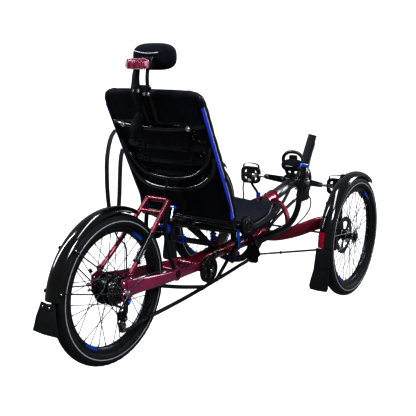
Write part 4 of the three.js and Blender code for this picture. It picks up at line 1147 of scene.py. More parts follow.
def knuckle(side_name, side):
    """The upright: its clevis, stub axle, brake caliper and steering arms."""
    y = FRONT_Y
    low = turned([(0, 13), (2, 15), (41.6, 15)], at(KINGPIN_X, y, 236), Z_AXIS, 32)
    cap = turned([(0, 15), (7, 15), (9, 13)], at(KINGPIN_X, y, 334.4), Z_AXIS, 32)
    web = block((316, y - 13, 236), (328, y + 16, 343), 2.5)
    shelves = [block((KINGPIN_X, y - 11, 240), (326, y + 11, 277.6), 2),
               block((KINGPIN_X, y - 11, 334.4), (326, y + 11, 343), 2)]
    stub = turned([(326, 15), (333.6, 13)], at(0, y, AXLE_Z), sides=32)
    foot = block((316, y + 4, 332), (330, y + 20, 348), 3)
    arm = beam([(at(322, y + 10, 292), 12, 12), (at(326, y + 48, 306), 12, 12)])
    left_half = block((320, y + 40, 286), (338.4, y + 82, 318), 4)
    right_half = block((344.8, y + 42, 287), (350, y + 80, 317), 3)
    bridge = block((330, y + 79.4, 288), (349, y + 84, 316), 2)
    track = beam([(at(KINGPIN_X, y, TRACK_Z), 18, 9), (at(KINGPIN_X, y + TRACK_ARM[1], TRACK_Z), 12, 8)])
    boss = turned([(-5, 8), (5, 8)], at(KINGPIN_X, y + TRACK_ARM[1], TRACK_Z), Z_AXIS, 24)
    shapes = [low, cap, web, *shelves, stub, foot, arm, left_half, right_half, bridge, track, boss]
    shapes = [on_side(shape, side) for shape in shapes]
    if side_name == "right":
        sx, sy = -KINGPIN_X + STEER_ARM[0], y + STEER_ARM[1]
        shapes.append(turned([(0, 8), (2, 9), (64, 9)], at(-KINGPIN_X, y, STEER_ARM_Z - 4), Z_AXIS, 24))
        shapes.append(beam([(at(-KINGPIN_X, y, STEER_ARM_Z), 18, 9), (at(sx, sy, STEER_ARM_Z), 12, 8)]))
        shapes.append(turned([(-5, 8), (5, 8)], at(sx, sy, STEER_ARM_Z), Z_AXIS, 24))
    body = f"knuckle_{side_name}"
    piece(f"knuckle_upright_{side_name}", body, shapes, POWDER, stands_for=(f"knuckle_{side_name}",))
    bolts = [bolt(at(KINGPIN_X, y, 343), Z_AXIS, 8, 7, 24), bolt(at(320, y + 50, 302), -X_AXIS, 3.4),
             bolt(at(320, y + 72, 302), -X_AXIS, 3.4),
             hex_nut(at(KINGPIN_X, y + TRACK_ARM[1], TRACK_Z + 5), Z_AXIS, 5, 5)]
    banjo = turned([(0, 4), (4, 5), (8, 5), (10, 3)], at(330, y + 62, 318), Z_AXIS, 16)
    shapes = [on_side(shape, side) for shape in (*bolts, banjo)]
    piece(f"knuckle_bolts_{side_name}", body, shapes, [BLUE, STEEL, STEEL, STEEL, ALLOY])


def tie_rod(name, body, start, end, radius):
    """A straight rod with threaded ball ends, lock nuts and rubber boots."""
    along = (end - start).normalized()
    length = (end - start).length / MM
    shaft = turned([(26, radius * 0.7), (28, radius), (length - 28, radius), (length - 26, radius * 0.7)],
                   start, along, 20)
    shapes, materials = [shaft], [POWDER]
    for joint, way in ((start, along), (end, -along)):
        shapes += [turned([(6, 3), (30, 3)], joint, way, 14), turned([(24, 5.4), (29, 5.4)], joint, way, 6),
                   turned([(-5, 5), (-4, 8), (4, 8), (5, 6)], joint, Z_AXIS, 24),
                   turned([(-7.4, 3.4), (-5, 4.2)], joint, Z_AXIS, 6)]
        materials += [STEEL, ALLOY, MATT, STEEL]
    piece(f"{name}_assembly", body, shapes, materials, stands_for=(name,))


def tie_rods():
    track_z = TRACK_Z - 10.4
    tie_rod("track_rod", "track_rod", at(-KINGPIN_X, FRONT_Y + TRACK_ARM[1], track_z),
            at(KINGPIN_X, FRONT_Y + TRACK_ARM[1], track_z), 4.5)
    start = at(STEER_ARM[0], STEER_Y + STEER_ARM[1], STEER_ARM_Z - 10.4)
    end = at(-KINGPIN_X + STEER_ARM[0], FRONT_Y + STEER_ARM[1], STEER_ARM_Z - 10.4)
    tie_rod("drag_link", "drag_link", start, end, 4)
    along = (end - start).normalized()
    clips = [turned([(-3, 5), (-2, 7), (2, 7), (3, 5)], start.lerp(end, share), along, 14)
             for share in (0.16, 0.42)]
    piece("drag_link_cable_clips", "drag_link", clips, MATT)


main_frame()
boom()
accessory_loop()
boom_lever()
for side_name, side in SIDES.items():
    knuckle(side_name, side)
tie_rods()


# ---------------------------------------------------------------- handlebar
GRIP_FOOT, GRIP_TOP = at(333, -694, 598), at(350, -722, 706)
GRIP_AXIS = (GRIP_TOP - GRIP_FOOT).normalized()


def handlebar():
    half = [at(0, STEER_Y, 172), at(55, -712, 192), at(150, -680, 284), at(222, -680, 326),
            at(287, -680, 372), at(316, -680, 428), at(324, -682, 500), GRIP_FOOT]
    bar_tube = tube(mirrored(half[1:]) + half, 11, sides=22, per=7)
    pivot = turned([(0, 13), (1.5, 15), (28, 15), (29.6, 13)], at(0, STEER_Y, 160), Z_AXIS, 28)
    arm_end = STEER_ARM[0], STEER_Y + STEER_ARM[1]
    arm = beam([(at(0, STEER_Y, STEER_ARM_Z), 18, 9), (at(*arm_end, STEER_ARM_Z), 12, 8)])
    boss = turned([(-5, 8), (5, 8)], at(*arm_end, STEER_ARM_Z), Z_AXIS, 24)
    piece("handlebar_tube", "handlebar", [bar_tube, pivot, arm, boss], POWDER, stands_for=("handlebar",))
    nuts = [hex_nut(at(0, STEER_Y, 160), -Z_AXIS, 8, 6), hex_nut(at(*arm_end, STEER_ARM_Z + 5), Z_AXIS, 5, 5)]
    collar = turned([(0, 17), (0, 19), (5, 19), (5, 17)], at(0, STEER_Y, 184), Z_AXIS, 32)
    piece("handlebar_pivot_fittings", "handlebar", [*nuts, collar], [STEEL, STEEL, BLUE])


def grip(side_name, side):
    """A ribbed grip with its end plug and blue lock ring."""
    ribs = []
    length = (GRIP_TOP - GRIP_FOOT).length / MM - 3
    steps = 26
    for i in range(steps):
        along = 4 + (length - 8) * i / steps
        swell = 15.3 + 1.1 * sin(pi * i / steps)
        ribs += [(along, swell), (along + 2.6, swell), (along + 2.8, swell - 0.7), (along + 3.6, swell - 0.7)]
    body = turned([(3, 13), (3, 15)] + ribs + [(length, 16.2), (length + 2, 15)], GRIP_FOOT, GRIP_AXIS, 32)
    plug = turned([(length + 2, 13), (length + 2, 14), (length + 3, 12), (length + 3, 4)], GRIP_FOOT,
                  GRIP_AXIS, 28)
    ring = turned([(-9, 11.2), (-9, 15.4), (-8, 16.2), (0.5, 16.2), (1.5, 15.4), (1.5, 11.2)], GRIP_FOOT,
                  GRIP_AXIS, 36)
    screw = bolt(GRIP_FOOT + GRIP_AXIS * -0.004 + Vector((0, 0.0155, 0)), Y_AXIS, 2.2)
    shapes = [on_side(shape, side) for shape in (body, plug, ring, screw)]
    piece(f"grip_ribbed_{side_name}", "handlebar", shapes[:2], [GRIP, MATT],
          stands_for=(f"grip_{side_name}",))
    piece(f"grip_lock_ring_{side_name}", "handlebar", shapes[2:], [BLUE, STEEL])


def brake_control(side_name, side):
    """The lever's housing with its reservoir and clamp, and the blade on its own hinge."""
    clamp = turned([(-8, 11.2), (-8, 14.6), (8, 14.6), (8, 11.2)], at(329, -689, 561), GRIP_AXIS, 28)
    housing = block((311, -722, 550), (339, -684, 572), 5)
    knob = turned([(0, 9), (8, 9.4), (10, 7)], at(325, -712, 560), -Y_AXIS, 24)
    tank = turned([(-15, 8), (-14, 9.6), (14, 9.6), (15, 8)], at(318, -704, 577), X_AXIS, 28)
    bolts = [bolt(at(px, -701, 586), Z_AXIS, 1.8) for px in (309, 327)]
    body = [on_side(shape, side) for shape in (clamp, housing, knob, tank, *bolts)]
    piece(f"brake_housing_{side_name}", "handlebar", body, [POWDER, POWDER, MATT, POWDER, STEEL, STEEL])
    hinge = turned([(316, 6), (317, 7), (333, 7), (334, 6)], at(0, -732, 563), sides=24)
    blade = beam([(at(325, -733, 566), 11, 12), (at(327, -741, 592), 9, 9), (at(331, -750, 632), 9, 10),
                  (at(337, -756, 662), 10, 12), (at(339, -756, 672), 10, 11)])
    pin = bolt(at(334, -732, 563), X_AXIS, 3.2)
    shapes = [on_side(shape, side) for shape in (hinge, blade, pin)]
    name = f"brake_lever_{side_name}"
    piece(f"{name}_blade", name, shapes, [ALLOY, ALLOY, STEEL], stands_for=(name,))


def shifter(side_name, side):
    """The shift control below the brake housing: clamp, body, two paddles and a window."""
    clamp = turned([(-6, 11.2), (-6, 14.4), (6, 14.4), (6, 11.2)], at(325, -684, 520),
                   Vector((0.02, -0.02, 1)), 28)
    pod = turned([(-14, 15), (-12, 21), (-6, 24), (8, 24), (13, 20), (15, 13)], at(318, -706, 518),
                 Vector((0.2, -1, 0.3)), 32)
    cover = turned([(10, 8), (12, 13), (14, 12), (14, 4)], at(318, -706, 518),
                   Vector((0.2, -1, 0.3)).normalized(), 32)
    cluster = block((297, -764, 452), (326, -704, 508), 9)
    trim = [turned([(0, 7), (1, 9), (5, 9), (6, 7)], at(px, py, pz), -X_AXIS if px < 300 else Z_AXIS, 20)
            for px, py, pz in ((297.5, -726, 486), (297.5, -750, 466), (312, -730, 507))]
    paddle = beam([(at(312, -706, 504), 8, 6), (at(300, -716, 484), 13, 5), (at(294, -722, 470), 12, 4)])
    trigger = beam([(at(320, -712, 502), 7, 5), (at(316, -728, 486), 11, 4), (at(310, -736, 478), 9, 4)])
    barrel = turned([(0, 4.4), (5, 5), (12, 5), (16, 3.4)], at(304, -704, 512),
                    Vector((-0.5, 0.2, -0.8)).normalized(), 16)
    shapes = [on_side(shape, side) for shape in (clamp, pod, cover, cluster, *trim, paddle, trigger, barrel)]
    piece(f"shifter_{side_name}", "handlebar", shapes,
          [POWDER, MATT, ALLOY, POWDER, ALLOY, STEEL, MATT, ALLOY, MATT, ALLOY])


handlebar()
for side_name, side in SIDES.items():
    grip(side_name, side)
    brake_control(side_name, side)
    shifter(side_name, side)


# ---------------------------------------------------------------- cranks and pedals
SPIDER_ANGLES = [0.3 + a for a in around(5)]


def crank_end(side):
    return BB_Y + side * CRANK_LENGTH * cos(CRANK_ANGLE), BB_Z + side * CRANK_LENGTH * sin(CRANK_ANGLE)


def crank_arm(side):
    """A forged arm with a hollowed face."""
    end_y, end_z = crank_end(side)
    start, end = Vector((BB_Y, BB_Z)), Vector((end_y, end_z))
    along = (end - start).normalized()
    across = Vector((-along.y, along.x))

    def outline(near, far, hub, tip):
        points = []
        for i in range(9):
            a = pi / 2 + pi * i / 8
            points.append(start + along * (near * cos(a)) * 1.1 + across * hub * sin(a))
        for i in range(9):
            a = -pi / 2 + pi * i / 8
            points.append(end + along * far * cos(a) + across * tip * sin(a))
        return [(p.x, p.y) for p in points]

    arm = plate([outline(15, 13, 15.5, 11.5)], 13, stand(side * 66.5, 0, 0), 2.6)
    face = plate([[(p.x, p.y) for p in (start + along * 34 + across * 5, start + along * 34 - across * 5,
                                       end - along * 26 - across * 3, end - along * 26 + across * 3)]],
                 1.2, stand(side * 73.2, 0, 0), 0.4)
    cap = turned([(0, 11), (2, 11), (3, 9), (3, 3)], at(side * 73, BB_Y, BB_Z), X_AXIS * side, 24)
    eye = turned([(0, 8.4), (1.2, 8), (1.2, 4)], at(side * 60.4, end_y, end_z), -X_AXIS * side, 20)
    return [arm, face, cap, eye]


def cranks():
    shapes = crank_arm(1) + crank_arm(-1)
    materials = [POWDER, MATT, ALLOY, ALLOY] * 2
    axle = turned([(-64, 12), (64, 12)], at(0, BB_Y, BB_Z), sides=32)
    spider = [beam([(at(-54, BB_Y, BB_Z), 8, 16),
                    (at(-52, BB_Y + 50 * sin(a), BB_Z + 50 * cos(a)), 6, 10)], per=2) for a in
              SPIDER_ANGLES if abs(cos(a)) < 0.96]
    bolts = [bolt(at(-51, BB_Y + 50 * sin(a), BB_Z + 50 * cos(a)), -X_AXIS, 3.4) for a in
             SPIDER_ANGLES]
    piece("crankset_forged", "crank", shapes + [axle] + spider + bolts,
          materials + [STEEL] + [POWDER] * len(spider) + [BLUE] * len(bolts), stands_for=("crankset",))
    windows = [window(28, 52, 72 * i + 12, 72 * i + 60) for i in range(5)]
    teeth = round(tau * CHAINRING_R / CHAIN_PITCH)
    ring = plate([toothed(CHAINRING_R, teeth), ring_of(13, 32), *windows], 3, stand(CHAINRING_X, BB_Y, BB_Z),
                 0.4)
    guard = plate([ring_of(71, 72), ring_of(56, 72)], 2.6, stand(CHAINRING_X - 5.5, BB_Y, BB_Z), 0.6)
    piece("chainring_toothed", "crank", [ring, guard], [SPROCKET, GLOSS], stands_for=("chainring",))


def rounded_box(half_u, half_w, corner):
    """A rectangle outline with round corners, centred."""
    steps = 5
    outline = []
    for quarter, (su, sw) in enumerate(((1, 1), (-1, 1), (-1, -1), (1, -1))):
        for i in range(steps + 1):
            a = pi / 2 * (quarter + i / steps)
            outline.append((su * (half_u - corner) + corner * cos(a),
                            sw * (half_w - corner) + corner * sin(a)))
    return outline


def pedal(side_name, side):
    """Cage pedal with tread teeth, bearing barrel, cleat and toe band, and a heel strap with its buckle."""
    y, z = crank_end(side)
    low, high = PEDAL_X - 48, PEDAL_X + 48
    edge = rounded_box(48, 38, 22)
    slots = [[(side_u * 18, -25), (side_u * 29, -24), (side_u * 37, -13), (side_u * 37, 13),
              (side_u * 29, 24), (side_u * 18, 25)] for side_u in (-1, 1)]
    cage = plate([edge, *slots], 18, facing(PEDAL_X, y, z), 1)
    teeth = []
    for i in range(9):
        for dz in (-34, 34):
            start = low + 24 + i * 5.6
            teeth.append(block((start, y - 11.4, z + dz - 2.4), (start + 2.6, y + 11.4, z + dz + 2.4), 0.6))
    barrel = turned([(low, 10), (low + 2, 12), (high - 14, 10.5), (high - 4, 8), (high, 7)], at(0, y, z),
                    sides=28)
    axle = turned([(73.4, 7), (100, 7), (102, 9)], at(0, y, z), sides=20)
    reflector = block((PEDAL_X - 9, y + 9, z - 30), (PEDAL_X + 9, y + 12, z - 18), 1)
    cleat = block((PEDAL_X - 40, y + 4, z - 9), (PEDAL_X - 12, y + 14, z + 9), 2.5)
    heel = band([at(PEDAL_X - 6, y + 10, z - 28), at(PEDAL_X - 18, y + 8, z - 50),
                 at(PEDAL_X - 34, y + 2, z - 74), at(PEDAL_X - 40, y, z - 92)], 17, 3.2, Y_AXIS)
    buckle_block = block((PEDAL_X - 52, y - 4, z - 104), (PEDAL_X - 32, y + 6, z - 78), 3)
    spare = band([at(PEDAL_X + 30, y + 10, z - 30), at(PEDAL_X + 32, y + 15, z - 60),
                  at(PEDAL_X + 28, y + 17, z - 96), at(PEDAL_X + 30, y + 14, z - 132)], 9, 2.4, Y_AXIS)
    toe = [at(PEDAL_X - 40, y - 2, z + 30), at(PEDAL_X - 38, y - 2.8, z + 46), at(PEDAL_X, y - 3.6, z + 54),
           at(PEDAL_X + 38, y - 2.8, z + 46), at(PEDAL_X + 40, y - 2, z + 30)]
    clip = band(toe, 12, 2.6, Y_AXIS)
    shapes = [on_side(s, side)
              for s in (cage, *teeth, barrel, axle, reflector, cleat, heel, buckle_block, spare, clip)]
    name = f"pedal_{side_name}"
    materials = [MATT] * (len(teeth) + 2) + [STEEL, REFLECTIVE, ALLOY, WEBBING, BLUE, WEBBING, MATT]
    piece(f"{name}_cage", name, shapes, materials, stands_for=(name,))


cranks()
for side_name, side in SIDES.items():
    pedal(side_name, side)


# ---------------------------------------------------------------- chain, idler and derailleur
def chain_along(points, name, body, stands_for):
    """Links along a line of points: plates on both sides of a roller, one pair for each pitch."""
    line = [at(*p) for p in points]
    lengths = [0.0]
    for a, b in zip(line, line[1:]):
        lengths.append(lengths[-1] + (b - a).length)
    pitch = CHAIN_PITCH * MM
    joints = []
    k = 0
    for i in range(int(lengths[-1] / pitch) + 1):
        goal = i * pitch
        while k < len(line) - 2 and lengths[k + 1] < goal:
            k += 1
        share = (goal - lengths[k]) / (lengths[k + 1] - lengths[k])
        joints.append(line[k].lerp(line[k + 1], min(share, 1)))
    shapes = []
    for i, (a, b) in enumerate(zip(joints, joints[1:])):
        along = (b - a).normalized()
        up = along.cross(X_AXIS)
        offset = 3.3 if i % 2 else 2.4
        for side in (-1, 1):
            rings = []
            for x0 in (offset - 0.45, offset + 0.45):
                ring = []
                for step in range(16):
                    t = tau * step / 16
                    reach = 4.1 - 0.7 * abs(cos(t)) ** 0.4 if abs(cos(t)) < 0.5 else 4.1
                    end = b if cos(t) > 0 else a
                    ring.append(end + (along * cos(t) + up * sin(t)) * reach * MM + X_AXIS * side * x0 * MM)
                rings.append(ring)
            shapes.append(skin(rings))
        shapes.append(turned([(-2.8, 3.6), (2.8, 3.6)], a, sides=10))
    piece(name, body, shapes, CHAIN, stands_for=stands_for)


def wrap(x, y, z, radius, start, end, count):
    """Points round a sprocket, by angle from straight up toward the rear."""
    angles = [radians(start + (end - start) * i / (count - 1)) for i in range(count)]
    return [(x, y + radius * sin(a), z + radius * cos(a)) for a in angles]


JOCKEY_TOP, JOCKEY_LOW, JOCKEY_R = (16, 176), (6, 134), 13


def chains():
    front = [(-50, -1150.6, 433), *wrap(CHAINRING_X, BB_Y, BB_Z, CHAINRING_R + 2, 30, -200, 40),
             (-50, -1166, 344.6)]
    chain_along(front, "chain_front_links", "frame", ("chain_front",))
    rear = [(-45, -94.4, 251.6), *wrap(-46, 0, AXLE_Z, 48, -25, 172, 30),
            *wrap(-51, *JOCKEY_TOP, JOCKEY_R + 3, -25, -130, 8),
            *wrap(-51, *JOCKEY_LOW, JOCKEY_R + 3, 60, 185, 10), (-51, -119.4, 126)]
    chain_along(rear, "chain_rear_links", "swingarm", ("chain_rear",))
    routes = {
        "chain_tube_power_rear": ("swingarm",
                                  [(-45, -95, 251), (-46, -200, 214), (-52, -300, 182), (-69, -415, 152.5)]),
        "chain_tube_power_front": ("frame",
                                   [(-69, -505, 154), (-70, -600, 226), (-72, -690, 286), (-68, -830, 301),
                                             (-60, -960, 312), (-52, -1080, 374), (-50, -1150, 432)]),
        "chain_tube_return_rear": ("swingarm", [(-51, -120, 126), (-52, -280, 130), (-52, -436, 138)]),
        "chain_tube_return_front": ("frame",
                                    [(-52, -446, 139), (-52, -600, 150), (-52, -700, 159), (-52, -765, 165),
                                              (-52, -838, 194), (-52, -890, 232), (-52, -960, 280),
                                     (-52, -1080, 322),
                                              (-50, -1165, 344)]),
    }
    for name, (body, route) in routes.items():
        points = [at(*p) for p in route]
        ends = []
        for tip, inner in ((points[0], points[1]), (points[-1], points[-2])):
            way = (inner - tip).normalized()
            ends.append(turned([(0, 5.2), (0, 8), (3, 7.8), (9, 7.1), (9, 6.6)], tip, way, 20, closed=True))
        piece(f"{name}_sleeve", body, [tube(points, 7, sides=16), *ends], [MATT, MATT, MATT],
              stands_for=(name,))


def idler():
    """Toothed idler with a pierced guard plate, seen between the pivot and the seat."""
    middle = stand(IDLER_X, IDLER_Y, IDLER_Z)
    windows = [window(15, 38, 72 * i + 8, 72 * i + 48) for i in range(5)]
    guard = plate([ring_of(IDLER_R, 72), ring_of(6, 24), *windows], 2.4,
                  stand(IDLER_X - 6.4, IDLER_Y, IDLER_Z), 0.7)
    inner = plate([ring_of(IDLER_R - 2, 72), ring_of(8, 24)], 2.2, stand(IDLER_X + 6.6, IDLER_Y, IDLER_Z),
                  0.6)
    teeth = plate([toothed(IDLER_R - 5, 22), ring_of(8, 24)], 6, middle, 0.6)
    hub = turned([(-13, 9), (-12, 11), (-8, 12), (8, 12)], at(IDLER_X, IDLER_Y, IDLER_Z), sides=28)
    cap = bolt(at(IDLER_X - 13, IDLER_Y, IDLER_Z), -X_AXIS, 5)
    piece("idler_pierced", "idler", [guard, inner, teeth, hub, cap], [MATT, MATT, SPROCKET, POWDER, STEEL],
          stands_for=("idler",))


def derailleur():
    """Changer body, spring cover, cage plates and the two toothed jockey wheels."""
    link = beam([(at(-73, 8, 228), 9, 16), (at(-77, 24, 203), 15, 22), (at(-71, 22, 178), 11, 18)])
    knuckle_top = turned([(-8, 9), (-7, 11), (5, 11), (6, 9)], at(-73, 9, 226), sides=28)
    cover = turned([(-74, 8), (-73, 12), (-61, 12), (-60.4, 10)], at(0, 20, 172), sides=32)
    barrel = turned([(0, 3), (1, 4.4), (9, 4.4), (11, 2.6), (18, 2.4)], at(-76, 34, 206), Y_AXIS, 14)
    bolts = [bolt(at(-81, 9, 226), -X_AXIS, 4), bolt(at(-74, 20, 172), -X_AXIS, 3)]
    piece("derailleur_linkage", "swingarm", [link, knuckle_top, cover, barrel, *bolts],
          [MATT, POWDER, MATT, ALLOY, BLUE, STEEL], stands_for=("derailleur_body",))
    cage = [(-9, 8), (0, 12), (9, 8), (9, -20), (2, -51), (-6, -54), (-15, -48), (-15, -34), (-9, -18)]
    holes = [ring_of(4, 16, centre=(-1, -22)), ring_of(3, 16, centre=(-4, -30))]
    shapes = []
    for x in (-58.8, -43.2):
        shapes.append(plate([cage, *holes], 2.2, stand(x, JOCKEY_TOP[0], JOCKEY_TOP[1]), 0.4))
    for y, z in (JOCKEY_TOP, JOCKEY_LOW):
        rounds = [ring_of(2, 10, centre=(7 * cos(a), 7 * sin(a))) for a in around(5)]
        shapes.append(plate([toothed(JOCKEY_R + 1, 11, 3.4), ring_of(3, 14), *rounds], 4, stand(-51, y, z),
                            0.4))
        shapes.append(turned([(-60.5, 3.6), (-42, 3.6)], at(0, y, z), sides=6))
    piece("derailleur_cage_plates", "swingarm", shapes, [SPROCKET, SPROCKET, MATT, STEEL, MATT, STEEL],
          stands_for=("derailleur_cage",))


chains()
idler()
derailleur()


# ---------------------------------------------------------------- rear triangle
def rear_triangle():
    stay = beam([(at(66, 2, 262), 8, 60), (at(63, -40, 260), 12, 54), (at(61, -110, 252), 14, 46),
                 (at(60, -241, 240), 14, 38), (at(57, -330, 234), 14, 32),
                 (at(48, PIVOT_Y, PIVOT_Z), 15, 28)])
    dropout = plate([[(-30, 238), (-12, 222), (16, 224), (26, 240), (24, 292), (-6, 302), (-30, 292)],
                     ring_of(4, 14, centre=(12, 284)), ring_of(4, 14, centre=(-16, 236))], 6,
                    stand(64, 0, 0), 1)
    eye = turned([(40, 17), (41, 19.5), (56, 19.5), (57, 17.5)], at(0, PIVOT_Y, PIVOT_Z), sides=36)
    bridge = turned([(-58, 11), (58, 11)], at(0, -302, 238), sides=24)
    hanger = block((-67, -6, 214), (-62, 18, 246), 1.6)
    # The stays, dropouts and hanger take the lighter red, a painted sheen; the eye, bridge and welds keep the
    # frame's red.
    sheen_painted_parts = [both_sides(stay), both_sides(dropout), hanger]
    welds = merged(both_sides(weld(at(50, -302, 238), X_AXIS, 11, 2)),
                   both_sides(weld(at(56, PIVOT_Y + 14, PIVOT_Z + 4), X_AXIS, 15, 2.2)))
    piece("swingarm_welded", "swingarm", [*sheen_painted_parts, both_sides(eye), bridge, welds], [SHEEN_PAINTED_RED] * 3 + [RED] * 3,
          stands_for=("swingarm",))
    leg = tube([at(64, -14, 303), at(60, -60, 340), at(52, -150, 420), at(45, -247, 506)], 8.5, sides=22)
    front = tube([at(45, -247, 506), at(42, -232, 430), at(46, -236, 350), at(54, -262, 262)], 7.5, sides=20)
    top = turned([(-47, 8), (-46, 9), (46, 9), (47, 8)], at(0, -247, 506), sides=24)
    second = turned([(-50, 7), (50, 7)], at(0, -208, 470), sides=20)
    cup_bar = turned([(-44, 8), (44, 8)], at(0, -231, 392), sides=20)
    cup = turned([(0, 20), (1, 23), (12, 24), (14, 22)], at(0, -226, 392), -Y_AXIS, 36)
    foot = block((58, -26, 302), (68, -2, 317), 3)
    beads = merged(both_sides(weld(at(45, -246, 505), Vector((0, -0.7, 0.7)), 8.5, 2)),
                   both_sides(weld(at(47, -208, 470), X_AXIS, 7, 1.8)),
                   both_sides(weld(at(63, -18, 306), Vector((0, -0.75, 0.65)), 8.5, 2)))
    piece("rear_stays_welded", "swingarm",
          [both_sides(leg), both_sides(front), top, second, cup_bar, cup, both_sides(foot), beads],
          [RED, POWDER, RED, RED, POWDER, POWDER, RED, RED], stands_for=("rear_stays",))
    sleeve = tube([at(-60.5, -56, 337), at(-57, -95, 371), at(-52.6, -143, 414)], 10, sides=20)
    # A thin pale line along the sleeve, in the reflective band's colour: a painted highlight.
    painted_glint = tube([at(-70.2, -62, 344), at(-67.5, -92, 370)], 1.2, sides=8)
    boots = [turned([(-2, 10), (0, 12), (5, 12), (7, 10)], at(-60.5, -56, 337), Vector((0.04, -0.75, 0.66)),
                    20)]
    piece("stay_guard_right", "swingarm", [sleeve, *boots, painted_glint], [GLOSS, MATT, REFLECTIVE])


def dropout_fittings():
    """Axle nuts, the blue hanger bolt and the small adjusters at the dropouts."""
    shapes, materials = [], []
    for side in (-1, 1):
        shapes.append(hex_nut(at(side * 67, 0, AXLE_Z), X_AXIS * side, 8.6, 7))
        shapes += [bolt(at(side * 67, dy, AXLE_Z + dz), X_AXIS * side, 3.2) for dy,
                   dz in ((14, 36), (-20, 44))]
        materials += [ALLOY, STEEL, STEEL]
    adjusters = [
        ([(0, 6), (1, 9), (8, 9), (10, 7), (10, 4), (7, 3.6)], (-67, 8, 228), -X_AXIS, 6, BLUE),
        ([(0, 5), (4, 5.6), (12, 5.6), (14, 4)], (67, 20, 300), Vector((0.4, 0.3, 1)), 16, RED),
        ([(0, 4), (4, 6), (9, 6), (11, 4)], (67, 28, 262), Vector((1, 0.4, 0)), 16, RED),
        ([(0, 3), (4, 4.6), (9, 4.6), (11, 3)], (67, 27, 242), Vector((1, 0.5, -0.2)), 16, ALLOY),
    ]
    for profile, place, axis, sides, material in adjusters:
        shapes.append(turned(profile, at(*place), axis.normalized(), sides))
        materials.append(material)
    bridge = at(0, -270, 241)
    # The bridge collar takes the lighter red too: a painted sheen.
    shapes.append(turned([(-66, 22), (-65, 25), (-47, 25), (-46, 22)], bridge, sides=36))
    shapes.append(turned([(-68, 5), (-68, 13), (-65, 14), (-65, 5)], bridge, sides=24, closed=True))
    piece("dropout_fittings", "swingarm", shapes, [*materials, SHEEN_PAINTED_RED, MATT])


def elastomer():
    """The blue spring block, its ribs squeezed between two plates."""
    profile = [(0, 17), (1, 20)]
    for i in range(4):
        y = 5 + 11 * i
        profile += [(y, 20), (y + 3, 20), (y + 4.5, 17.6), (y + 6, 17.6)]
    profile += [(48, 20), (49.4, 17)]
    body = turned(profile, at(0, -290, 392), Y_AXIS, 40)
    made = piece("elastomer_ribbed", "", [body], ELASTOMER, stands_for=("elastomer",))
    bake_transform(made)


rear_triangle()
dropout_fittings()
elastomer()


# ---------------------------------------------------------------- seat tower
def seat_tower():
    upper = tube([at(0, -312, 410), at(0, -740, 286)], 12.5, sides=24)
    lower = tube([at(0, -320, 352), at(0, -575, 270)], 11, sides=22)
    rear_post = turned([(0, 12), (1, 13), (69, 13), (70, 12)], at(0, -314, 345), Z_AXIS, 26)
    diagonal = tube([at(0, -405, 385), at(0, -540, 285)], 9, sides=20)
    front_foot = tube([at(0, -732, 292), at(0, -736, 256)], 13, sides=24)
    saddle_profile = [(-16, 26), (-15, 28), (15, 28), (16, 26)]
    saddles = [turned(saddle_profile, at(0, y, z), Y_AXIS, 36) for y, z in ((-566, 232), (-736, 228))]
    back_plate = turned([(0, 22), (2, 23), (19, 23), (21, 22)], at(0, -312, 392), Y_AXIS, 36)
    bracket = plate([[(-330, 408), (-294, 408), (-294, 466), (-304, 478), (-330, 478)]], 8, stand(0, 0, 0), 1)
    slot = turned([(-4.4, 5), (-4.4, 8), (-4, 8), (-4, 5)], at(0, -312, 466), sides=24, closed=True)
    spine = tube([at(0, -585, 270), at(0, -585, 325)], 8, sides=18)
    piece("seat_tower_welded", "frame",
          [upper, lower, rear_post, diagonal, front_foot, *saddles, back_plate, bracket, slot, spine], POWDER,
          stands_for=("seat_tower",))
    rings = []
    for y, z in ((-588, 284), (-588, 296), (-588, 308)):
        rings.append(turned([(-3, 9), (-3, 13), (3, 13), (3, 9)], at(0, y, z), Z_AXIS, 32,
                            closed=True))
    for y, z in ((-372, 335.2), (-392, 328.8)):
        rings.append(turned([(-3.4, 12), (-3.4, 15), (3.4, 15), (3.4, 12)], at(0, y, z),
                            Vector((0, -0.95, -0.3)).normalized(), 28, closed=True))
    clamp_bolts = [bolt(at(-28, y, 236), -X_AXIS, 3.2) for y in (-566, -736)]
    piece("seat_tower_blue_collars", "frame", rings, BLUE)
    piece("seat_tower_bolts", "frame", clamp_bolts, STEEL)


def recline_lever():
    axle = turned([(-22, 8), (-21, 9.4), (-6, 9.4), (-4.6, 8)], at(0, -312, 466), sides=28)
    nut = hex_nut(at(-22, -312, 466), -X_AXIS, 7.5, 6)
    blade = beam([(at(-19, -312, 466), 8, 14), (at(-24, -298, 449), 8, 16), (at(-26.5, -287, 430), 7.6, 15),
                  (at(-27, -283, 423), 6.5, 10)])
    piece("recline_lever_blade", "recline_lever", [axle, blade, nut], [ALLOY, ALLOY, BLUE],
          stands_for=("recline_lever",))


seat_tower()
recline_lever()


